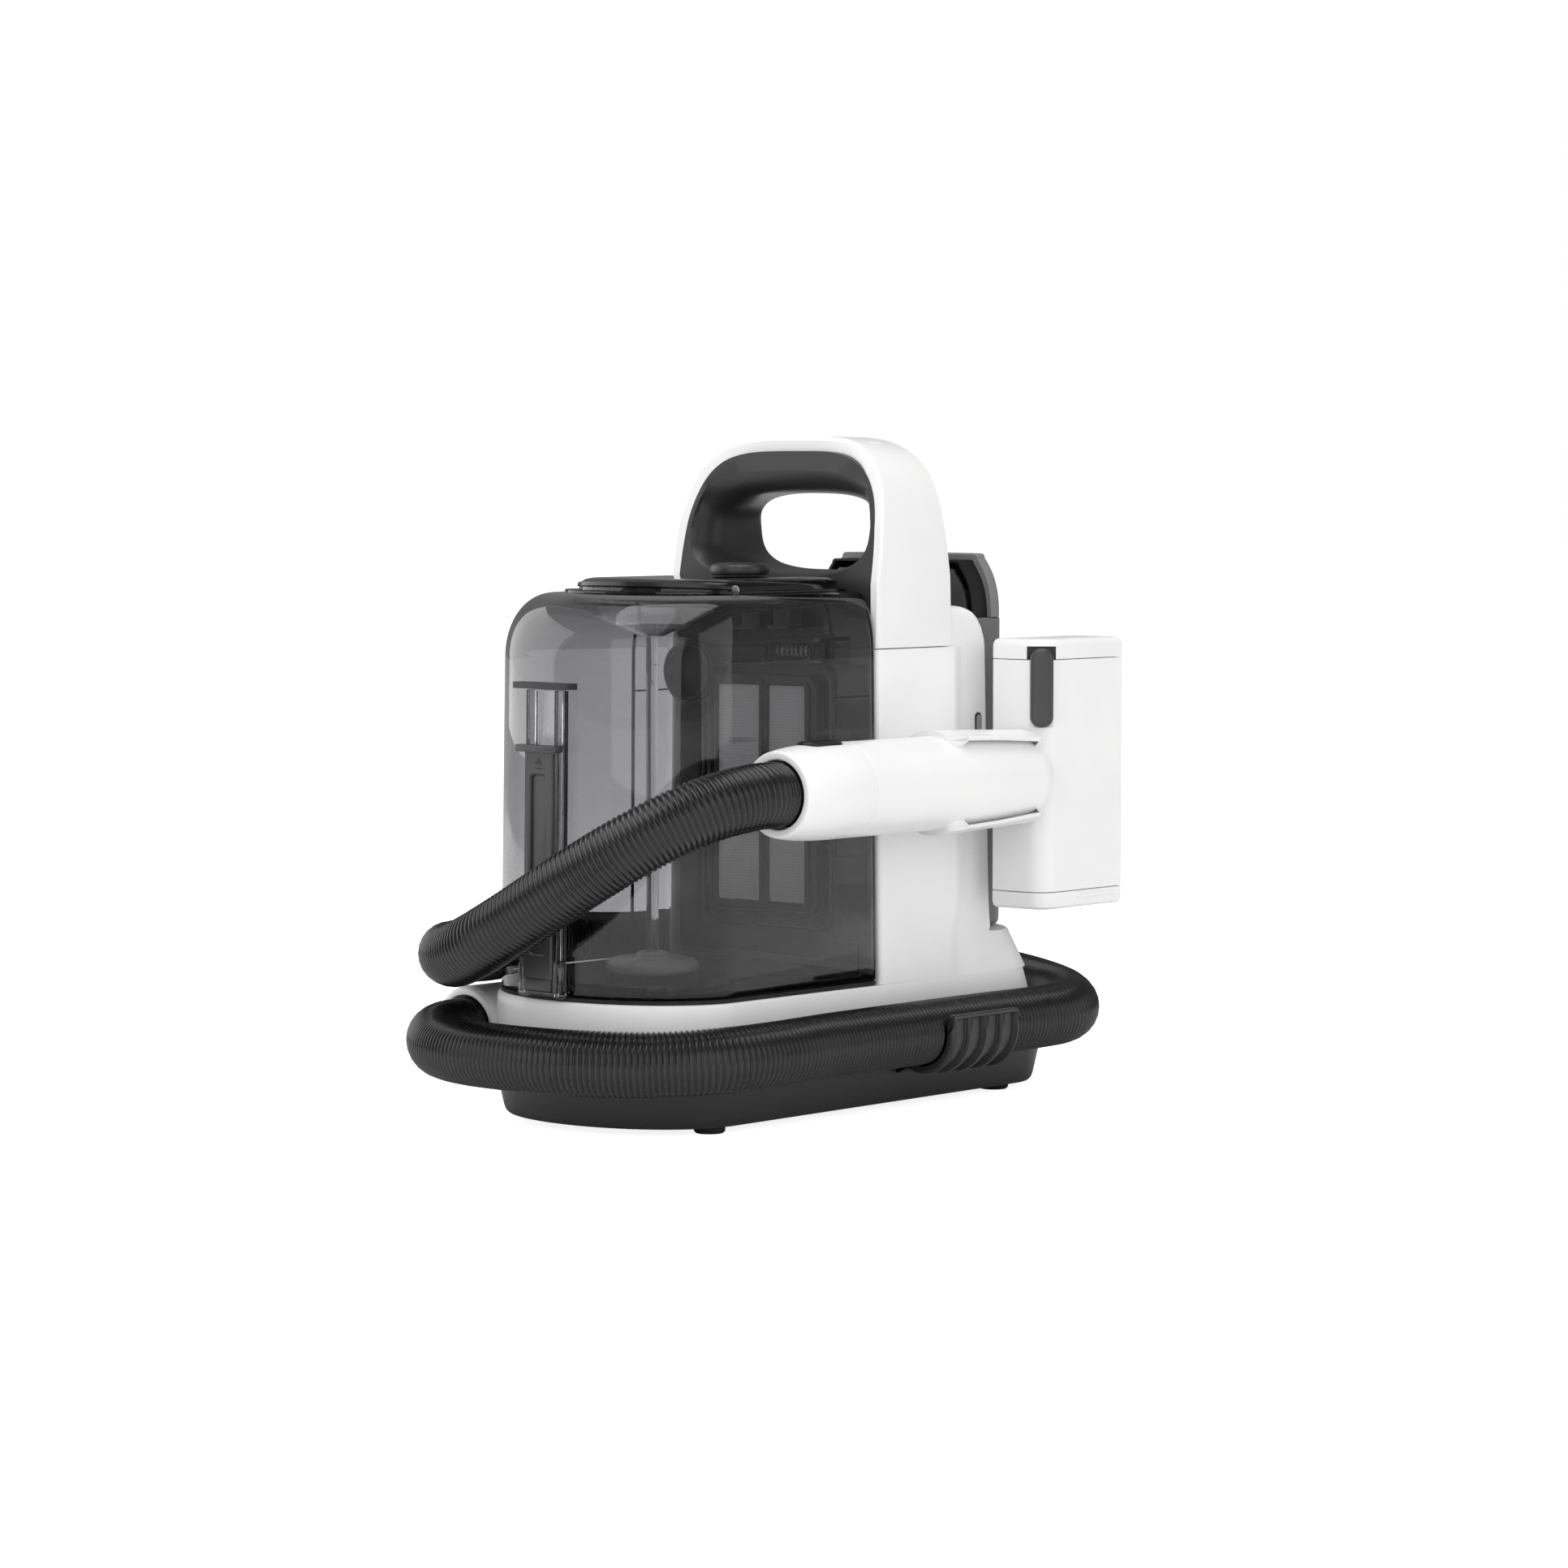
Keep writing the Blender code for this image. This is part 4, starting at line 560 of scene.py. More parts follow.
def in_arch(x, z, gap):
    """Inside the arch band's inner line, kept off it by the gap, and above the seam."""
    half, rise = arch_size(gap)
    bow = (np.abs(x) / half) ** ARCH_POWER + (np.maximum(z - ARCH_FOOT, 0) / rise) ** ARCH_POWER < 1
    leg = np.abs(x) < np.interp(z, (225.2, 240.0), (67.0 - gap, half))
    return np.where(z < ARCH_FOOT, leg & (z > 226.0), bow)


def hole(flare):
    """The hand hole, |x/h|^3.2 + |z/r|^3.2 = 1, grown by the flare more above than below."""
    half, low, high = 51.6 + flare, 262.4 - 0.45 * flare, 300.7 + 1.6 * flare
    centre, rise = (low + high) / 2, (high - low) / 2
    return lambda x, z: (((np.abs(x) / half) ** 3.2 + (np.abs(z - centre) / rise) ** 3.2 < 1)
                         & in_arch(x, z, BAND + 2.4))


turns = np.linspace(0, 2 * np.pi, 144, endpoint=False)
FLARE, ROLL, CREASE = 6.8, 17.0, math.radians(35)


def liner_ring(line, share, push=0.0):
    """A ring at a share of the handle's depth behind its leaning front face, pushed further back."""
    front, rear = lean_front(line[:, 1]) + 0.55, lean_rear(line[:, 1]) - 0.3
    return np.stack([line[:, 0], front + (rear - front) * share + push, line[:, 1]], 1)


edge_line = on_rays(lambda x, z: in_arch(x, z, BAND + 0.05), turns)
rings = [liner_ring(edge_line, 0), liner_ring(on_rays(hole(FLARE + 0.25), turns), 0)]
for a in np.linspace(CREASE, np.pi / 2, 8):
    offset = FLARE * (1 - math.sin(a)) / (1 - math.sin(CREASE))
    depth = ROLL * (math.cos(CREASE) - math.cos(a)) / math.cos(CREASE)
    rings.append(liner_ring(on_rays(hole(offset), turns), 0, 0.15 + depth))
rings.append(liner_ring(on_rays(hole(0), turns), 0.62))
for a in np.radians([0, 30, 60, 90]):
    rings.append(liner_ring(on_rays(hole(3.0 * (1 - math.cos(a))), turns), 1, -5 * (1 - math.sin(a))))
rings.append(liner_ring(edge_line, 1))
liner = finished("grip_charcoal", charcoal_paint, 48, 0.36)
piece("grip_liner", [skin(rings, "loop")], liner, "machine", "grip_insert", crease=24)

# The power button: a white disc set level in the arch, with a fine dark gap round it.

def turned(profile, at, axis="Z", steps=64, ends="open", tilt=0.0):
    """A profile of (radius, height) pairs carried round an axis through a point; the tilt leans the
    axis towards the right."""
    r, h = np.asarray(profile, float).T
    a = np.linspace(0, 2 * np.pi, steps, endpoint=False)[None]
    u, v, w = r[:, None] * np.cos(a), r[:, None] * np.sin(a), h[:, None] + 0 * a
    x, y, z = (u, v, w) if axis == "Z" else (u, w, v)
    c, s = math.cos(tilt), math.sin(tilt)
    return skin(np.stack([x * c + z * s, y, z * c - x * s], -1) + np.asarray(at, float), ends)


def eased(corners, radius, closed=False, steps=5):
    """A line with its corners rounded, each as the curve (1-t)^2 a + 2t(1-t) m + t^2 b between the
    points one radius before it and after it."""
    m = np.asarray(corners, float)
    before, after = np.roll(m, 1, 0), np.roll(m, -1, 0)
    if not closed:
        before[0], after[-1] = m[0], m[-1]
    reach = np.broadcast_to(radius, len(m))[:, None]

    def towards(other):
        gap = other - m
        return gap * np.minimum(reach / np.maximum(np.linalg.norm(gap, axis=1, keepdims=True), 1e-9), 0.49)

    t = np.linspace(0, 1, steps)[None, :, None]
    a, b = (m + towards(before))[:, None], (m + towards(after))[:, None]
    return ((1 - t) ** 2 * a + 2 * t * (1 - t) * m[:, None] + t ** 2 * b).reshape(-1, m.shape[1])


BUTTON_AT, BUTTON_TILT = (30.0, 33.0, 326.95), math.radians(7.3)
disc = eased([(0, -0.2), (8.6, -0.35), (9.9, 0.25), (10.1, -0.6), (10.1, -3.6), (0, -3.6)],
             [0, 0.6, 0.5, 0.3, 0, 0])
piece("power_button_cap", [turned(disc, BUTTON_AT, steps=72, tilt=BUTTON_TILT)], white, "power_button",
      "power_button", crease=50)


# ---- Dirty-water tank
# A D-shaped tank of clear smoke-grey plastic, walls 2.4 mm thick, with a deeply rounded shoulder
# and an open mouth under the lid. It stands on a rubber gasket on the skirt's deck.

def d_outline(half, front, rear, depth, corner, inset=0.0):
    """Half an ellipse at the front, from left to right, straight sides, and a flat back with round
    corners, all drawn in by the inset."""
    half, front, rear, depth, corner, inset = column(half, front, rear, depth, corner, inset)
    half, front, rear, depth = half - inset, front + inset, rear - inset, depth - inset
    corner = np.maximum(corner - inset, 0.8)
    turn, a = np.linspace(0, np.pi, 61)[None], np.linspace(0, np.pi / 2, 7)[None]
    x, y = side_by_side([-half * np.cos(turn), half - corner + corner * np.cos(a),
                         corner - half - corner * np.sin(a)],
                        [front + depth * (1 - np.sin(turn)), rear - corner + corner * np.sin(a),
                         rear - corner + corner * np.cos(a)])
    return np.stack([x, y], -1)


TANK_FLOOR, SHOULDER, TANK_TOP, TANK_BACK, TANK_WALL, POWER = 64.4, 221.0, 253.3, -0.8, 2.4, 2.15
FOOT_HALF, SHOULDER_HALF, SHOULDER_IN = 69.0, 67.6, 12
FOOT_PLAN = (FOOT_HALF, -156.2, TANK_BACK, 49.5, 4.0)


def tank_rings(inset, floor, steps):
    """Level rings of the tank: straight walls, then sin^(2/p) up and 1 - cos^(2/p) in."""
    wall = np.linspace(floor, SHOULDER, 5)
    a = np.linspace(0, np.pi / 2, steps)[1:]
    rise, share = np.abs(np.sin(a)) ** (2 / POWER), 1 - np.maximum(np.cos(a), 0) ** (2 / POWER)
    up = (wall - TANK_FLOOR) / (SHOULDER - TANK_FLOOR)
    half = np.r_[FOOT_HALF - 1.4 * up, SHOULDER_HALF - SHOULDER_IN * share]
    front = np.r_[-156.2 + 2.2 * up, -154.0 + 30 * share]
    depth = np.r_[49.5 + 0 * up, 49.5 - 13 * share]
    z = np.r_[wall, SHOULDER + (TANK_TOP - inset - SHOULDER) * rise]
    return raised(d_outline(half, front, TANK_BACK, depth, 4.0, inset), z)


def smoke_paint(start, shade=0.80, absorption=230.0):
    """Clear smoke-grey plastic: a faint tint at its faces with flow ripples from the mould, and
    light taken away as exp(-absorption x path) inside it, which darkens its rounded edges."""
    flow = noise(start, 9.0, 1.0)
    tint = ramp(start, flow, (0.3, (shade * 0.98, shade * 0.98, shade, 1)),
                (0.7, (shade, shade, shade * 1.02, 1)))
    return dict(Base_Color=tint, Roughness=0.012, IOR=1.46, Transmission_Weight=1.0, Absorption=absorption,
                Normal=bumped(start, flow, 0.02, 0.0002))


smoke = finished("smoke_clear", smoke_paint)
mouth = d_outline(45.0, -107.0, TANK_BACK - 7, 29, 6)[0]
foot_round = raised(d_outline(*FOOT_PLAN, [1.4, 0.4]), [TANK_FLOOR, TANK_FLOOR + 0.4])
outside = tank_rings(0.0, TANK_FLOOR + 1.4, 19)
inside = tank_rings(TANK_WALL, TANK_FLOOR + TANK_WALL + 1.5, 13)
floor_round = raised(d_outline(*FOOT_PLAN, TANK_WALL + np.array([0.6, 2.2])),
                     [TANK_FLOOR + TANK_WALL + 0.4, TANK_FLOOR + TANK_WALL])
lips = [np.column_stack([mouth, np.full(len(mouth), h)])[None] for h in (TANK_TOP, TANK_TOP - TANK_WALL)]
shell = np.concatenate([foot_round, outside, *lips, inside[::-1], floor_round])
piece("tank_shell_clear", [skin(shell)], smoke, "dirty_tank", "tank_shell", crease=48)

gasket = d_outline(*FOOT_PLAN, [0.5, 0.0, 0.0, 0.5])
piece("tank_gasket", [skin(raised(gasket, [62.45, 62.8, 63.9, 64.3]))], rubber, "dirty_tank")

gloss_black = finished("gloss_black", charcoal_paint, 34, 0.2)


def moved(outline, u, v):
    """The same outline about another middle."""
    return lambda inset: outline(inset) + np.array([u, v])


# The tank is welded from a front and a back half: a dark bead follows the joint down both sides and
# steps back near the floor, and short ribs inside tie the two halves.

bow = np.radians(np.linspace(76, 0, 16))
height = np.r_[SHOULDER + (TANK_TOP - SHOULDER) * np.sin(bow) ** (2 / POWER),
               180, 130, 89, 87, 86.3, 86, 86, 85.7, 85, 83, 67.4]
along_y = np.r_[np.full(20, -32.0), -31.6, -31, -15, -14.3, -13.9, -13.7, -13.7]
over = np.maximum(height - SHOULDER, 0) / (TANK_TOP - SHOULDER)
bowed = SHOULDER_HALF - SHOULDER_IN * (1 - np.sqrt(np.maximum(1 - over ** 2, 0)))
straight = FOOT_HALF - 1.4 * (height - TANK_FLOOR) / (SHOULDER - TANK_FLOOR)
side_at = np.where(height > SHOULDER, bowed, straight) - TANK_WALL - 0.75
run = np.gradient(np.stack([along_y, height], 1), axis=0)
run /= np.linalg.norm(run, axis=1, keepdims=True)
beads = []
for side in (-1, 1):
    corners = [(side * (side_at + dx), along_y + w * run[:, 1], height - w * run[:, 0])
               for dx, w in ((-0.5, -0.7), (0.5, -0.7), (0.5, 0.7), (-0.5, 0.7))]
    beads.append(skin(np.stack([np.stack(corner, 1) for corner in corners], 1)))
    beads += [slab(rounded(12.6, 0.45, 0.3), side * 65.0 - 0.5, side * 65.0 + 0.5, 0.1, "X", (-18.6, v))
              for v in (203, 126)]
piece("tank_joint_beads", beads, gloss_black, "dirty_tank", crease=50)

# Lid: a flange flat on the tank's top, a low dome in the same clear plastic, and a raised dark brow
# along its front, over small ribs that hold the separator under it.

FLANGE, DOME = (53.0, -118.0, -2.0, 34, 8), (49.0, -110.5, -3.0, 32, 8)
low, shelf = TANK_TOP + 0.35, TANK_TOP + 1.5
rings = [raised(d_outline(*shape, inset), [z]) for shape, levels in (
    (DOME, ((258.9, 22), (258.8, 13), (258.0, 5), (256.6, 2.2), (low, 1.5))),
    (FLANGE, ((low, 0), (shelf - 0.3, 0), (shelf, 0.4))),
    (DOME, ((shelf, 0), (256.6, 0.3), (258.4, 1.2), (259.6, 3.2), (260.2, 6.5), (260.4, 12), (260.4, 22))),
) for z, inset in levels]
piece("tank_lid_clear", [skin(np.concatenate(rings))], finished("lid_smoke", smoke_paint, 0.6, 260.0),
      "tank_lid", "tank_lid", crease=40)
repaint(rubber, "lid_seal")

BROW_HALF, BROW_BACK, BROW_DEPTH = 49.3, -78.2, 32.6
turn = np.linspace(0.02, 0.98, 61)[:, None] * np.pi
rise = np.sin(turn) ** 0.75
out, raise_by = np.array([(0.15, 0.0), (0.5, 0.1), (0.7, 0.5), (0.25, 2.3), (-2.2, 3.3), (-5.5, 3.7),
                          (-5.5, 3.2), (-1.6, 2.4)]).T
rings = np.stack([-BROW_HALF * np.cos(turn) - np.cos(turn) * out,
                  BROW_BACK - BROW_DEPTH * np.sin(turn) - np.sin(turn) * out,
                  254.6 + 2.2 * rise + raise_by * (0.55 + 0.45 * rise)], -1)
piece("lid_brow", [skin(rings)], gloss_black, "tank_lid")
piece("lid_ribs", [slab(rounded(0.7, 1.1, 0.2), 253.9, 257.4, 0.1, "Z",
                        (x_mid, BROW_BACK - 29.5 * math.sqrt(1 - (x_mid / 46.5) ** 2)))
                   for x_mid in (-34, -27, -22, -9, 0, 6, 19, 27, 38)], gloss_black, "tank_lid")
screw = eased([(0, 0.9), (1.5, 0.9), (2.3, 0.2), (2.3, -0.6), (0, -0.6)], 0.3)
piece("lid_hinge_screw", [turned(screw, (51.5, -86.5, 255.4), "Y", 24)], steel, "tank_lid")

# Knob on the lid: a stepped charcoal disc with a raised finger bar, which turns the lid's lock.

knob = eased([(0, 266.6), (10.8, 266.9), (13.9, 265.9), (14.6, 263.6), (14.2, 261.6), (12.6, 260.85),
              (0, 260.85)], [0, 0.8, 1.6, 1.2, 0.8, 0.6, 0], steps=7)
piece("lid_knob_disc", [turned(knob, (0, -25, 0), steps=80)], liner, "lid_knob", "lid_knob", crease=50)
piece("lid_knob_bar", [slab(rounded(8.6, 1.9, 1.8), 266.2, 267.1, 0.35, "Z", (0, -25))], charcoal, "lid_knob")

# Under the lid hangs the clear separator funnel; the float disc rides on its clear rod below it.

FLOAT_AXIS = (-8, -80, 0)
funnel = eased([(36.2, 250.4), (38.2, 250.4), (38.0, 249.4), (21.0, 241.6), (5.4, 234.0), (3.4, 234.0),
                (3.4, 235.4), (20.2, 243.2)], [0.3, 0.3, 0.8, 3, 0.6, 0.2, 0.3, 3], closed=True)
thin_smoke = finished("funnel_smoke", smoke_paint, 0.92, 35.0)
piece("separator_funnel", [turned(funnel, FLOAT_AXIS, steps=96, ends="loop")], thin_smoke, "dirty_tank",
      "inlet_funnel", crease=45)
rod = eased([(0, 67.2), (3, 67.2), (3, 233.4), (0, 233.4)], 0.3)
beads = [slab(rounded(0.9, 1.0, 0.4), z - 0.4, z + 0.4, 0.1, "Z", (-5.1, -80)) for z in (219.0, 120.0)]
piece("float_guide_rod", [turned(rod, FLOAT_AXIS, steps=28), *beads], thin_smoke, "dirty_tank", "float_rod")
# The float is an opaque pale grey in place of clear plastic; its paleness is a painted highlight that stands
# for the clear float's bright rims.
disc = eased([(4, 68.4), (21.5, 68.4), (23, 69.8), (23, 73.0), (19.6, 75.6), (9, 75.6), (7.4, 78.6),
              (4, 78.6)], [0.2, 1, 0.6, 1.6, 1.6, 0.8, 1.2, 0.3], closed=True)
piece("float_disc", [turned(disc, FLOAT_AXIS, steps=72, ends="loop")],
      finished("float_painted_highlight_grey", charcoal_paint, 170, 0.2), "tank_float", "tank_float",
      crease=45)

# The filter at the tank's back: a charcoal frame with two pale mesh screens, clipped over the air
# port, inside a raised border. Above it are two hooks and the lid catch with its steel spring.

def plate_ring(outer, inner, low, high, edge=0.4, at=(0.0, 0.0)):
    """A flat frame facing forward between two outlines of equal length, with eased edges."""
    lines = [(outer(edge), low), (outer(0), low + edge), (outer(0), high), (inner(0), high),
             (inner(0), low + edge), (inner(-edge), low)]
    return skin([np.stack([line[:, 0] + at[0], np.full(len(line), y), line[:, 1] + at[1]], 1)
                 for line, y in lines], "loop")


BACK = TANK_BACK - TANK_WALL - 0.35         # the inside of the tank's back wall
SCREEN_X, SCREEN_Z, FILTER_Z = 14.7, 153.3, 152
frame_paint = finished("filter_charcoal", charcoal_paint, 36, 0.34)
sheet = rounded(34.4, 60.0, 8)
parts = [slab(sheet, BACK - 3.4, BACK, 0.5, "Y", (0, FILTER_Z))]
parts += [plate_ring(moved(rounded(14.4, 57.2, 4), s * SCREEN_X, 152.6),
                     moved(rounded(11.9, 53.7, 1.6), s * SCREEN_X, SCREEN_Z), BACK - 5.5, BACK - 3.3)
          for s in (-1, 1)]
parts.append(plate_ring(sheet, rounded(31.4, 57.0, 6), BACK - 5.5, BACK - 3.3, at=(0, FILTER_Z)))
piece("filter_frame_plate", parts, frame_paint, "dirty_tank", "filter_frame")


def screen_paint(start):
    """Pale woven filter mesh: two crossed wave patterns, about 0.7 mm apart, with darker gaps."""
    place = start.add("TexCoord", output="Object")
    weft, warp = (start.add("TexWave", dict(bands_direction=way), Vector=place, Scale=220.0) for way in "XZ")
    weave = start.worked("MAXIMUM", weft, warp)
    return dict(Base_Color=ramp(start, weave, (0.1, 214), (0.6, 248)), Roughness=0.7 + 0.1 * weave,
                Normal=bumped(start, weave, 0.4, 0.0002))


screen = finished("pale_mesh", screen_paint)
for side, name in ((-1, "left"), (1, "right")):
    piece("filter_mesh_" + name,
          [slab(rounded(11.6, 53.4, 1.4), BACK - 4.2, BACK - 3.3, 0.1, "Y", (side * SCREEN_X, SCREEN_Z))],
          screen, "dirty_tank", "filter_screen_" + name)

AIR_PORT = (-46, 0, 213)


def port_ring(inner, outer, low, high, radius):
    """A ring round the air port, square in section with rounded edges."""
    section = eased([(inner, low), (outer, low), (outer, high), (inner, high)], radius, closed=True)
    return turned(section, AIR_PORT, "Y", 72, "loop")


bottom = [(0, BACK - 2.2), (13.5, BACK - 2.2), (13.5, BACK - 1), (0, BACK - 1)]
piece("air_port_rim", [port_ring(13.4, 17.2, BACK - 7.5, BACK, 0.5), turned(bottom, AIR_PORT, "Y", 72),
                       port_ring(14.6, 15.8, BACK - 9, BACK - 7, 0.3)],
      frame_paint, "dirty_tank", "suction_port")

# The border and the hooks are a lighter grey than the frame, a painted highlight that stands for the light
# along their edges.
parts = [plate_ring(rounded(41.0, 66.5, 10), rounded(39.2, 64.7, 8.6), BACK - 2.0, BACK, 0.5, (0, 151.5))]
for middle in (-5.0, 15.0):
    parts.append(slab(rounded(5.6, 5.6, 1.2), BACK - 9, BACK - 0.2, 0.5, "Y", (middle, 242.0)))
    parts.append(slab(rounded(6.4, 1.0, 0.6), BACK - 12, BACK - 0.2, 0.4, "Y", (middle, 237.2)))
piece("filter_border_and_hooks", parts, finished("hook_painted_highlight_grey", charcoal_paint, 78, 0.3), "dirty_tank")
repaint(thin_smoke, "catch_housing")
COILS, COIL_R = 7, 3.2
turns = np.linspace(0, COILS * 2 * np.pi, COILS * 22)
coil = np.stack([12 + 21 * turns / turns[-1], BACK - 7 + COIL_R * np.cos(turns),
                 224.2 + COIL_R * np.sin(turns)], 1)
piece("catch_coil", [tube(coil, 0.45, 8)], steel, "dirty_tank", "catch_spring")


# ---- Release slider
# On the tank's front a charcoal slider frees the tank from the deck. It runs in a clear guide under
# a flat stop plate, and its long recess is for the thumb. All of it hugs the tank's curved face.

def posed(surfaces, at, turn, tilt=0.0):
    """Surfaces given across, out and up on their own axes, leaned by the tilt about X, turned about Z
    and moved to a point."""
    made = []
    for points, faces in surfaces:
        x, y, z = np.asarray(points, float).T
        y, z = y * math.cos(tilt) - z * math.sin(tilt), y * math.sin(tilt) + z * math.cos(tilt)
        x, y = x * math.cos(turn) - y * math.sin(turn), x * math.sin(turn) + y * math.cos(turn)
        made.append((np.stack([x, y, z], 1) + at, faces))
    return made


SLIDE = (np.array([-6.7, -156.0, 64.4]), math.radians(-4.0), math.radians(-0.80))
RAIL_Z = 73.3
clear_rail = finished("rail_smoke", smoke_paint, 0.9, 90.0)
rails = [slab(rounded(1.1, 71.3, 0.4), -5.6, 0.0, 0.3, "Y", (u, RAIL_Z)) for u in (-8.0, 11.7)]
rails.append(slab(rounded(10.2, 71.3, 0.4), -1.9, -1.2, 0.2, "Y", (1.8, RAIL_Z)))
piece("slider_rails", posed(rails, *SLIDE), clear_rail, "dirty_tank", "slider_guide")
edges = [slab(rounded(0.35, 71.0, 0.3), y, y + 0.6, 0.15, "Y", (u, RAIL_Z))
         for u, y in ((-8.8, -5.7), (-6.0, -1.9), (10.7, -5.7))]
edges.append(slab(rounded(0.9, 71.0, 0.5), -1.0, 0.4, 0.15, "Y", (12.6, RAIL_Z)))
piece("slider_rail_edges", posed(edges, *SLIDE), gloss_black, "dirty_tank")

# The stop plate's back follows the tank's face, y = u^2 / 192 - 0.5, and its front is eased.

STOP_HALF, STOP_DEPTH, STOP_EDGE = 18.5, 7, 2.2
u = np.linspace(-STOP_HALF, STOP_HALF, 13)
back = np.stack([u, u ** 2 / 192.4 - 0.5], 1)
face = eased([back[0], (-STOP_HALF, -STOP_DEPTH), (STOP_HALF, -STOP_DEPTH), back[-1]],
             [0, STOP_EDGE, STOP_EDGE, 0])
stop = skin(raised(np.stack([np.vstack([face, back[-2:0:-1]])] * 4), [145, 145.01, 147.99, 148]))
piece("slider_stop_plate", posed([stop], *SLIDE), charcoal, "dirty_tank", "slider_stop", crease=60)

slider_grey = finished("slider_charcoal", charcoal_paint, 60, 0.34)
face, thumb = moved(rounded(9.8, 54.5, 0.8), 0, 62.5), moved(rounded(5.5, 42.2, 2.2), 0, 62.2)
parts = [plate_ring(face, thumb, -6.3, -4.5, 0.7), slab(face, -4.7, -2.3, 0.3, "Y"),
         slab(rounded(14.0, 1.75, 1.0), -8.5, -3.4, 0.6, "Y", (0, 116.95)),
         slab(rounded(9, 3.4, 0.8), -5.7, -2.4, 0.4, "Y", (0, 5.9))]
piece("release_slider_face", posed(parts, *SLIDE), slider_grey, "release_slider", "release_slider", crease=40)
MARK = (-6.45, -6.2)
corners = eased([(-2.6, 109.4), (2.6, 109.4), (0, 112.9)], 0.35, closed=True)
arrow = skin(np.stack([np.stack([corners[:, 0], np.full(len(corners), y), corners[:, 1]], 1) for y in MARK]))
piece("slider_lift_mark", posed([arrow, slab(rounded(2.6, 0.35, 0.3), *MARK, 0.1, "Y", (0, 107.6))], *SLIDE),
      near_black, "release_slider")
catch = [slab(rounded(2.4, 9.0, 1.0), -4.6, -0.6, 0.4, "Y", (u, 8.5)) for u in (-12.4, 12.4)]
catch += [slab(rounded(14.0, 1.1, 0.6), -5.4, -1.0, 0.4, "Y", (0, v)) for v in (1.4, 15.6)]
piece("slider_catch", posed(catch, *SLIDE), clear_rail, "dirty_tank")


# ---- Clean-water tank
# A slim grey tank behind the column, flat in front and curved at the back, with a hooped hood
# to lift it by, a filler cap under the hood, and a valve at the bottom that opens onto the pump.

def curved_back(half, front, rear, depth):
    """A flat front with small round corners, and half an ellipse at the back, drawn in by the inset
    it is called with."""
    def outline(inset):
        turn, a = np.linspace(0, np.pi, 33), np.linspace(0, np.pi / 2, 6)
        back = np.stack([(half - inset) * np.cos(turn),
                         rear - inset - (depth - inset) * (1 - np.sin(turn))], 1)
        left = np.stack([inset - half + 4 - 4 * np.cos(a), front + inset + 4 - 4 * np.sin(a)], 1)
        return np.vstack([back, left, (left * (-1, 1))[::-1]])
    return outline


def stacked(outline, levels):
    """A solid through an outline's level rings, each with its height and its inset."""
    return skin(np.concatenate([raised(outline(inset)[None], [z]) for z, inset in levels]))


levels = ((82.8, 3.0), (83.3, 1.4), (84.6, 0.3), (86.5, 0), (237.6, 0), (238.1, 0.5), (238.2, 3))
piece("clean_tank_body", [stacked(curved_back(53.4, 92.3, 131.4, 22.4), levels)],
      finished("clean_tank_grey", charcoal_paint, 108, 0.34), "clean_tank", "clean_tank")
levels = ((238.4, 0.6), (239, 0), (250.5, 0), (252, 0.8), (253.2, 3.5), (256.8, 6), (257.8, 6.8), (258, 9))
piece("filler_cap", [stacked(curved_back(46, 104.3, 128, 16), levels)], charcoal, "clean_tank",
      "clean_tank_cap")

HOOD_FOOT, HOOD_TOP, HOOD_HALF, HOOD_CORNER, HOOD_MIDDLE, HOOD_DEPTH = 238.4, 270.0, 53.6, 2.2, 108.5, 22.2
up = np.linspace(0, 1, 25)


def hoop(inset):
    """Half an arch, mirrored: x = (half - inset)(1 - 0.166 u^2.6), u the share of the height, then a
    round corner and a flat top. Returns x, z and each point's share of the widest plan."""
    top = HOOD_TOP - inset
    share = 1 - 0.166 * up ** 2.6
    x, z = (HOOD_HALF - inset) * share, HOOD_FOOT + (top - HOOD_CORNER - HOOD_FOOT) * up
    a = np.linspace(0.2, np.pi / 2, 6)
    x = np.r_[x, x[-1] - HOOD_CORNER * (1 - np.cos(a)), np.linspace(x[-1] - HOOD_CORNER, 0, 12)[1:]]
    z = np.r_[z, z[-1] + HOOD_CORNER * np.sin(a), np.full(11, top)]
    share = np.r_[share, np.full(17, share[-1])]
    return [np.r_[v, sign * v[-2::-1]] for v, sign in ((x, -1), (z, 1), (share, 1))]


def hoop_rings(steps, axis=1):
    """The hoop carried back over a plan that is half an ellipse: x cos a and 108.5 + d sin a, with d
    the depth less the inset, both scaled by the share. A step is an inset and a place or an angle.
    Axis 1 sweeps the section along the hoop, axis 0 fills the hoop as a plate."""
    rows = []
    for inset, place, angle in steps:
        x, z, share = hoop(inset)
        y = place + 0 * x if angle == 0 else HOOD_MIDDLE + (HOOD_DEPTH - inset) * share * math.sin(angle)
        rows.append(np.stack([x * math.cos(angle), y, z], 1))
    return skin(np.stack(rows, axis))


def hood_shell(front, out_by, in_by):
    """A hoop's wall between two insets: from the front back over the plan outside, then inside."""
    back = np.radians(np.linspace(6, 76, 15))
    return hoop_rings([*front, (out_by, HOOD_MIDDLE, 0), *((out_by, 0, t) for t in back),
                       *((in_by, 0, t) for t in back[::-1]), (in_by, HOOD_MIDDLE, 0),
                       (in_by, front[0][1], 0)])


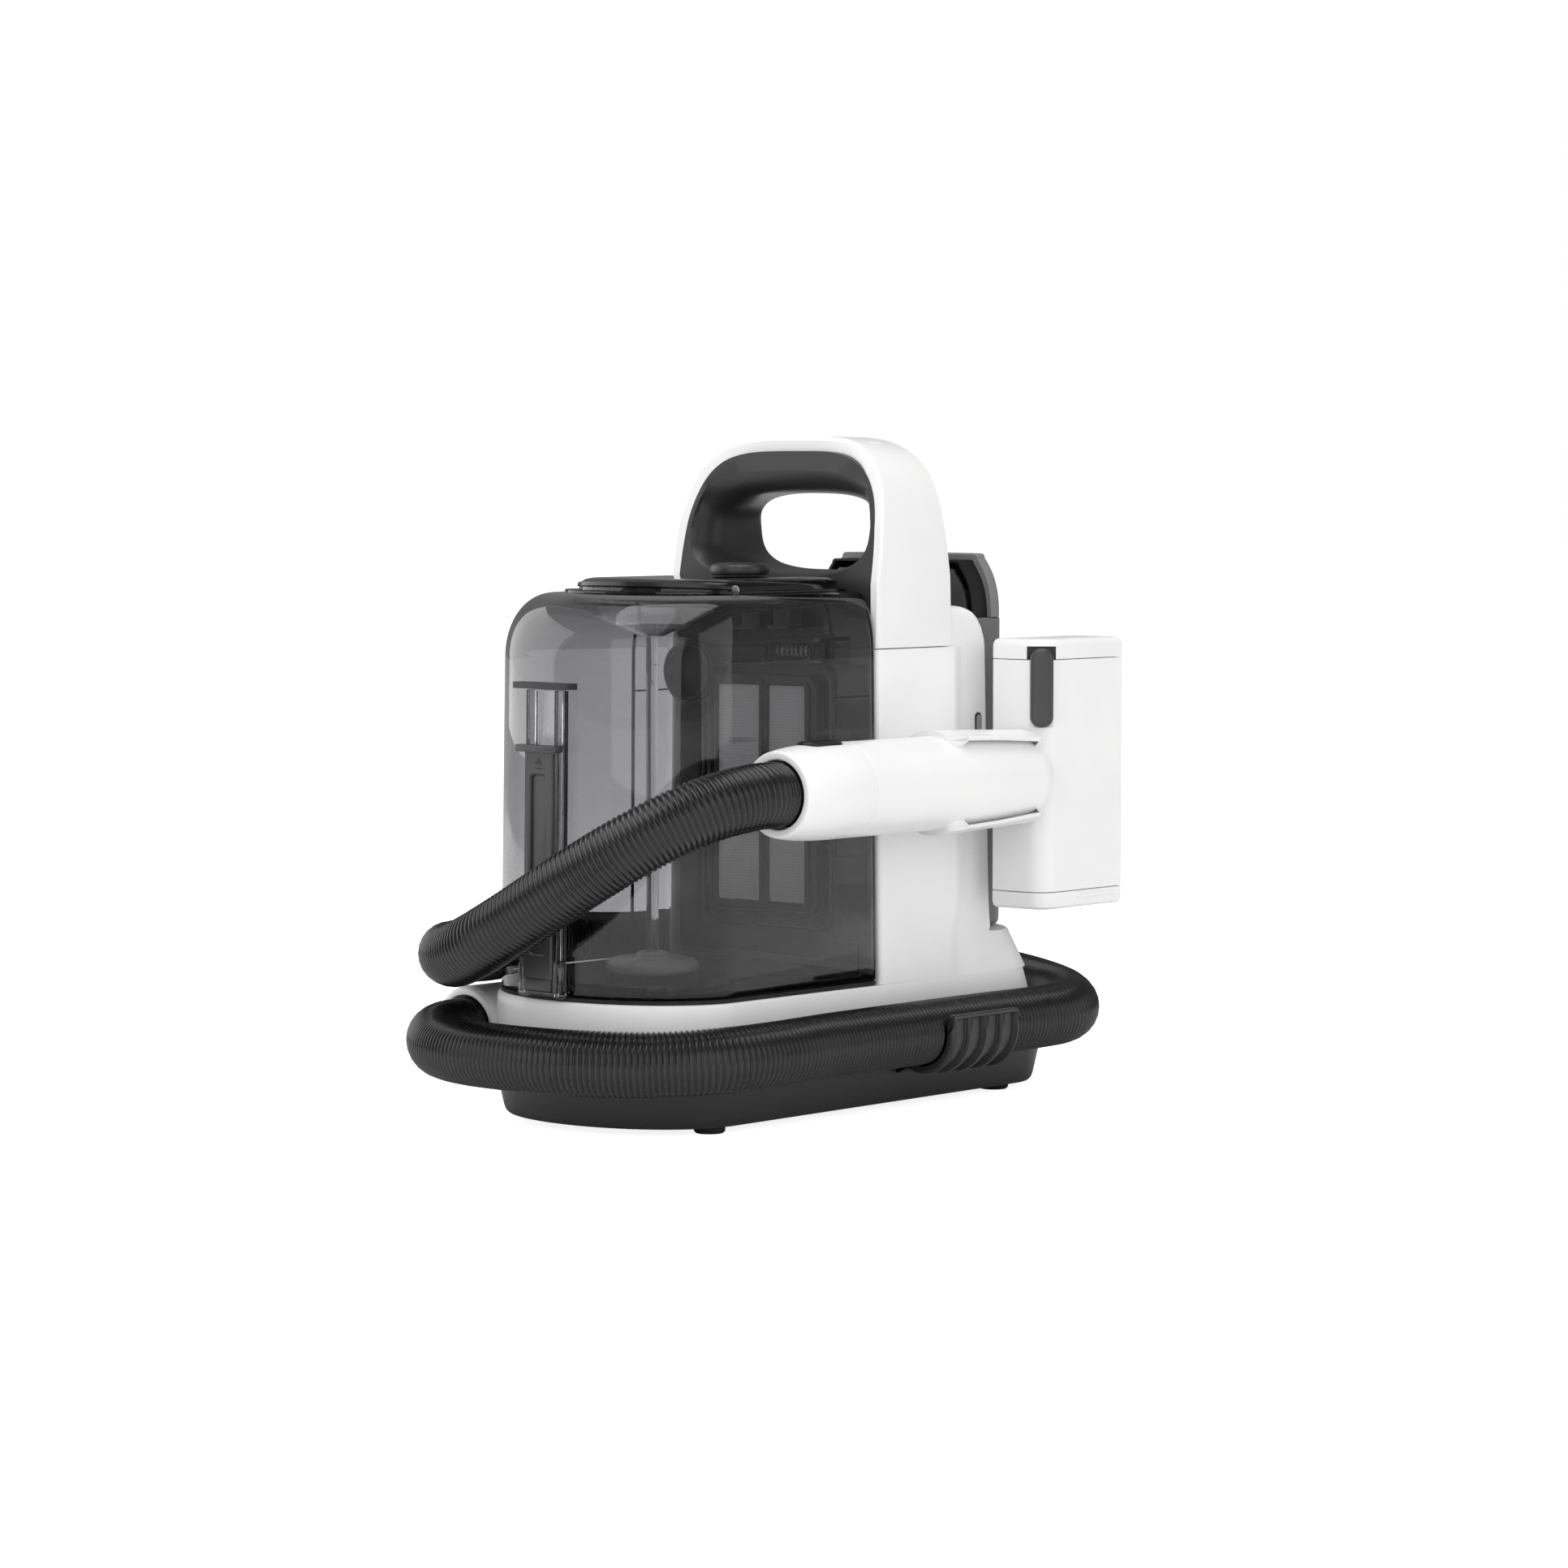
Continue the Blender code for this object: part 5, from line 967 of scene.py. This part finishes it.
RIM, NECK, WALL = 105.8, 95.0, 3.0
piece("lifting_hood", [hood_shell([(0.4, RIM, 0), (0, RIM + 0.5, 0)], 0, WALL)],
      finished("hood_grey", charcoal_paint, 126, 0.34), "clean_tank", "clean_tank_hood",
      crease=30)
# A near-black lining runs from the hood's neck back round its inside: painted shade for the hood's dark
# inside.
piece("hood_shade_lining", [hood_shell([(WALL + 0.1, NECK, 0)], WALL + 0.1, WALL + 1.2)],
      finished("hood_painted_shade_black", charcoal_paint, 8, 0.6), "clean_tank", crease=50)
piece("hood_front_plate", [hoop_rings([(8.2, 94.3, 0), (7.6, 94.8, 0), (7.6, 96.4, 0)], 0)], slider_grey,
      "clean_tank", crease=50)
repaint(charcoal, "clean_tank_valve")


# ---- Wand
# The white wand lies in its bracket on the right: a grip that swallows the hose, with an oval dark
# trigger on top, and a tube with a domed end. Both are turned, and the bracket is a sprung C.

AXIS_X, AXIS_Z = 95.0, 161.3
WAND_AXIS = (AXIS_X, 0, AXIS_Z)


def carved(made, surfaces, crease):
    """Cuts closed surfaces in millimetres out of a finished piece."""
    tool = placed("tool", mesh_of("tool", surfaces, crease))
    cut = made.modifiers.new("cut", "BOOLEAN")
    cut.operation, cut.solver, cut.object = "DIFFERENCE", "EXACT", tool
    cut_mesh = bpy.data.meshes.new_from_object(made.evaluated_get(bpy.context.evaluated_depsgraph_get()))
    made.modifiers.clear()
    made.data = cut_mesh
    cut_mesh.set_sharp_from_angle(angle=math.radians(crease))
    bpy.data.objects.remove(tool)


grip = eased([(15.95, -100.2), (16.4, -107.2), (20.2, -107.7), (21.4, -101.7), (22.4, -91.7), (22.8, -79.7),
              (22.8, -60.3), (13, -60.3), (13, -99)], [0.2, 1.0, 1.4, 3, 4, 4, 0.35, 0, 0], steps=7)
wand_grip = piece("wand_grip_turned", [turned(grip, WAND_AXIS, "Y", 96, "loop")], white, "machine",
                  "wand_grip", crease=35)
TRIGGER_AT = (AXIS_X, -76.5)
carved(wand_grip, [slab(stadium(6.5, 7.2, 16), AXIS_Z + 17, AXIS_Z + 30, 0.01, at=TRIGGER_AT)], 35)
piece("trigger_cap", [slab(stadium(6.0, 7.2, 16), AXIS_Z + 19.3, AXIS_Z + 23.6, 1.1, at=TRIGGER_AT, steps=6),
                      slab(stadium(4.4, 7.0, 16), AXIS_Z + 23.2, AXIS_Z + 24, 0.5, at=TRIGGER_AT)],
      near_black, "wand_button", "wand_button", crease=50)

dome = np.radians(np.linspace(3, 90, 19))
TAPER_Y, TAPER_R = (-60.0, 5.0, 25.0, 46.0, 69.0), (22.8, 22.8, 22.5, 21.8, 20.8)
wall = np.vstack([(22.45, -60), (22.8, -59.65), np.stack([TAPER_R, TAPER_Y], 1)[1:],
                  np.stack([20.8 * np.cos(dome), 69 + 22.2 * np.sin(dome)], 1)])
inside = np.stack([18.4 * np.cos(dome[::-1]), 69 + 19.8 * np.sin(dome[::-1])], 1)
tube_line = np.vstack([wall, inside, (18.4, 69), (20.2, -60)])
wand_tube = piece("wand_tube_turned", [turned(tube_line, WAND_AXIS, "Y", 96, "loop")], white, "machine",
                  "wand_tube", crease=35)

# The bracket is a sprung strip round the wand: its two lips leave the circle along a curve
# (1-t)^2 a + 2t(1-t) b + t^2 c, spread outwards and close in on the wand's tapered end.

LIP, WRAP, ACROSS = 14, 81, 15              # rows in a lip and round the wand, points across the strip
t, s = np.linspace(0, 1, LIP + 1)[:-1, None], np.linspace(0, 1, ACROSS)
wrap = np.radians(np.linspace(72, 288, WRAP))
lips = np.zeros((2 * LIP + WRAP, ACROSS, 2))
from_tip = np.linspace(0, 11, LIP + 1)[:-1]
reach = np.r_[from_tip, np.full(WRAP, 12.0), from_tip[::-1]]
corner = 1 - np.sqrt(1 - np.clip(1 - reach / 8, 0, 1) ** 2)
low_y, high_y = (6 + 9 * corner)[:, None], (76 - 6 * corner)[:, None]
y = low_y + (high_y - low_y) * s
r = np.interp(y, TAPER_Y, TAPER_R) + 1.45
lips[LIP:-LIP] = np.stack([r[LIP:-LIP] * np.cos(wrap)[:, None], r[LIP:-LIP] * np.sin(wrap)[:, None]], -1)
for rows, turn_at, way, tips in ((slice(0, LIP), wrap[0], 1, (22.0, 21.0, 19.0)),
                                 (slice(-1, -LIP - 1, -1), wrap[-1], -1, (20.8, 19.6, 17.2))):
    start_x, start_z = r[rows] * math.cos(turn_at), r[rows] * math.sin(turn_at)
    tip_z = way * np.interp(y[rows], (16, 40, 70), tips)
    lips[rows, :, 0] = t ** 2 * start_x + 2 * t * (1 - t) * (start_x + 4.8) + (1 - t) ** 2 * 17.6
    lips[rows, :, 1] = t ** 2 * start_z + 2 * t * (1 - t) * (start_z - way * 1.5) + (1 - t) ** 2 * tip_z
along = np.gradient(lips, axis=0)
normal = np.stack([along[..., 1], -along[..., 0]], -1) / np.linalg.norm(along, axis=-1, keepdims=True)
thick = (1.1 * np.sqrt(1 - np.clip(1 - (reach + 0.15) / 1.3, 0, 1) ** 2))[:, None, None]
both = np.concatenate([lips + thick * normal, (lips - thick * normal)[::-1]])
y = np.concatenate([y, y[::-1]])
bracket = np.stack([AXIS_X + both[..., 0], y, AXIS_Z + both[..., 1]], -1).transpose(1, 0, 2)
bracket_foot = slab(rounded(35.5, 7.0, 2.0), 66.0, 72.2, 0.3, "X", (39.5, AXIS_Z))
piece("wand_bracket_spring", [skin(bracket), bracket_foot], white, "machine", "wand_bracket",
      crease=50)


# ---- Cleaning head
# The wand's powered head, a white box stood upright on the wand's domed end: a body, an end cap
# held by a dark latch on its corner, and a foot cap with a finger lip. The roller faces backwards.

def round_box(x0, x1, y0, y1, radii):
    """A rectangle whose four corners have their own radii, from x0 y0 round by x1 y0, drawn in by the
    inset it is called with."""
    def outline(inset):
        a = np.linspace(0, np.pi / 2, 9)
        spots = []
        for cx, cy, sx, sy, radius in ((x0, y0, 1, 1, radii[0]), (x1, y0, -1, 1, radii[1]),
                                       (x1, y1, -1, -1, radii[2]), (x0, y1, 1, -1, radii[3])):
            r = max(radius - inset, 0.3)
            corner = np.stack([cx + sx * (inset + r - r * np.cos(a)),
                               cy + sy * (inset + r - r * np.sin(a))], 1)
            spots.append(corner if sx * sy > 0 else corner[::-1])
        return np.vstack(spots)
    return outline


HEAD = round_box(74.3, 107.4, 79.5, 144.7, (2.2, 10.0, 2.6, 7.0))
LATCH_TURN = math.radians(41)
LATCH = (np.array([97 + 10 * math.sin(LATCH_TURN), 90 - 10 * math.cos(LATCH_TURN), 221.5]), LATCH_TURN)


def block(x0, x1, y0, y1, z0, z1):
    """A plain cutter between two corners."""
    return slab(rounded((x1 - x0) / 2, (y1 - y0) / 2, 0.1, 2), z0, z1, 0.01,
                at=((x0 + x1) / 2, (y0 + y1) / 2))


head = piece("head_shell", [stacked(HEAD, ((103.9, 0.35), (104.2, 0), (218.3, 0), (218.6, 0.35)))], white,
             "machine", "head_body", crease=30)
carved(head, [block(80, 102, 121.5, 150, 112, 209), *posed([block(-7.2, 7.2, -6, 1.4, -36, 12)], *LATCH)], 30)
SOCKET_R, SOCKET_Y = 22.6, 66
dome_line = np.vstack([np.stack([SOCKET_R * np.cos(dome), SOCKET_Y + SOCKET_R * np.sin(dome)], 1),
                       [(0.001, SOCKET_Y), (SOCKET_R, SOCKET_Y)]])
carved(head, [turned(dome_line, WAND_AXIS, "Y", 64, "loop")], 30)
levels = ((218.95, 0.35), (219.25, 0), (225.6, 0), (227.2, 0.5), (228.2, 1.2), (228.8, 2.4), (229, 3.8))
end_cap = piece("head_end_cap_shell", [stacked(HEAD, levels)], white, "head_cap", "head_end_cap",
                crease=30)
carved(end_cap, posed([block(-7.2, 7.2, -6, 3.2, -7.8, 3.9)], *LATCH), 30)
# A near-black sheet at the back of the latch's notch is painted shade in the notch.
piece("latch_notch_painted_shade", posed([block(-7.1, 7.1, 2.9, 3.3, -3.2, 3.8)], *LATCH), near_black, "head_cap")
levels = ((95, 4.2), (95.1, 2.8), (95.6, 1.4), (96.4, 0.5), (98.4, 0), (103.25, 0), (103.55, 0.35))
finger_lip = slab(rounded(15.5, 1.0, 0.8), 106.5, 108.5, 0.4, "X", (121.5, 101.0))
piece("head_foot_cap_shell", [stacked(HEAD, levels), finger_lip], white, "machine", "head_foot_cap",
      crease=30)
lever = slab(rounded(5.7, 19.5, 5.2), -5.2, 0.8, 2.4, "Y", (0, -16.5), 8)
piece("head_latch_lever", posed([lever], *LATCH), slider_grey, "head_latch", "head_latch", crease=40)


def bristle_paint(start):
    """Packed nylon bristles in a spiral, dark with paler tips."""
    tips = noise(start, 1500.0, 2.0)
    return dict(Base_Color=ramp(start, tips, (0.35, 24), (0.7, 86)), Roughness=0.7 + 0.1 * tips,
                Normal=bumped(start, tips, 0.8, 0.0006))


ROLLER = (91, 134, 0)
turn, up = np.meshgrid(np.linspace(0, 2 * np.pi, 96, endpoint=False), np.linspace(113.2, 207.8, 96),
                       indexing="ij")
tuft = 10.6 + 0.9 * np.cos(6 * turn + up * 0.12) * np.minimum(1, np.minimum(up - 113, 208 - up) / 2)
roll = np.stack([ROLLER[0] + tuft * np.cos(turn), ROLLER[1] + tuft * np.sin(turn), up], -1).transpose(1, 0, 2)
axle = turned(eased([(0, 106.5), (2.5, 106.5), (2.5, 214), (0, 214)], 0.3), ROLLER, steps=24)
piece("brush_roller_bristles", [skin(roll), axle], finished("bristle_nylon", bristle_paint), "brush_roller",
      "brush_roller", crease=60)


# ---- Hose port and clips
# The hose leaves a white port low on the far side. A ribbed charcoal clip on each side of the base
# carries it: a J in the front view that hooks under the hose and springs over its outside.

port = eased([(0, -109), (16.9, -109), (16.9, -123), (19.8, -123), (21.3, -120), (21.3, -92), (14.3, -86),
              (0, -86)], [0, 0.2, 1.0, 1.0, 1.5, 4, 4, 0])
port_foot = slab(rounded(8.0, 7.0, 1.5), 31, 48, 0.5, at=(-80, -99))
piece("hose_port_turned", [turned(port, (-93, 0, 39), "Y", 72), port_foot], white, "machine", "hose_port",
      crease=40)

clip_dark = finished("clip_charcoal", charcoal_paint, 36, 0.28)


def clip(name, centre, root_x, foot, side):
    """The J's outline in the front view, swept along Y, with five raised ribs on its outside and
    rounded ends."""
    a = np.radians(np.linspace(-128, 0, 33))
    curve = np.stack([np.cos(a), np.sin(a)], 1)
    start, stop, pitch = 8, 60, 12.5
    spots = np.linspace(start, stop, 157)
    along = (spots - start - 1) / pitch
    ribs = np.clip((1.9 - np.abs(along - np.round(along)) * pitch) / 0.9, 0, 1)
    end = np.clip(np.minimum(spots - start, stop - spots) / 2.5, 0, 1)
    rings = []
    for rib, ease in zip(ribs, np.sqrt(1 - (1 - end) ** 2)):
        reach, top = 17.3 + (1.0 + 2.4 * rib) * (0.35 + 0.65 * ease), 5.5 + 4.0 * ease
        lip = [(reach, top - 2.6), (20.2, top - 1.8), (20.5, top - 0.6), (19.8, top), (17.0, top),
               (16.5, top - 0.8)]
        hook = np.vstack([reach * curve, lip, 16.5 * curve[::-1]]) + centre
        rings.append(np.vstack([[(root_x, foot[0])], hook, [(root_x, foot[1])]]))
    rings = np.stack(rings)
    y = np.broadcast_to(spots[:, None], rings.shape[:2])
    ring = np.stack([side * rings[..., 0], y, rings[..., 1]], -1)
    piece(name + "_sprung", [skin(ring)], clip_dark, "machine", name, crease=40)


clip("hose_clip_right", (88, 39.7), 72.4, (18.5, 27.5), 1)
clip("hose_clip_left", (95, 72), 71.3, (46, 57), -1)


# ---- Inner works
# Behind the walls: a suction motor over its fan, a small pump and its silicone tubes, the control
# board, and in the head a gear motor with a toothed belt. Their CAD shapes stay as they are.

def board_paint(start):
    """Green circuit board with faint copper tracks under the lacquer."""
    tracks = start.add("TexBrick", Vector=start.add("TexCoord", output="Object"), Scale=60.0,
                       Color1=tone(24, 84, 50), Color2=tone(30, 98, 58), Mortar=tone(70, 120, 70))
    return dict(Base_Color=tracks, Roughness=0.35, Coat_Weight=0.3)


repaint(steel, "suction_motor", "fan_impeller", "head_motor", "motor_pulley")
repaint(rubber, "motor_mount", "fan_seal", "drive_belt", "pump_inlet_tube", "pump_outlet_tube")
repaint(charcoal, "fan_housing", "suction_duct", "pump_body", "roller_pulley")
repaint(finished("circuit_green", board_paint), "control_board")
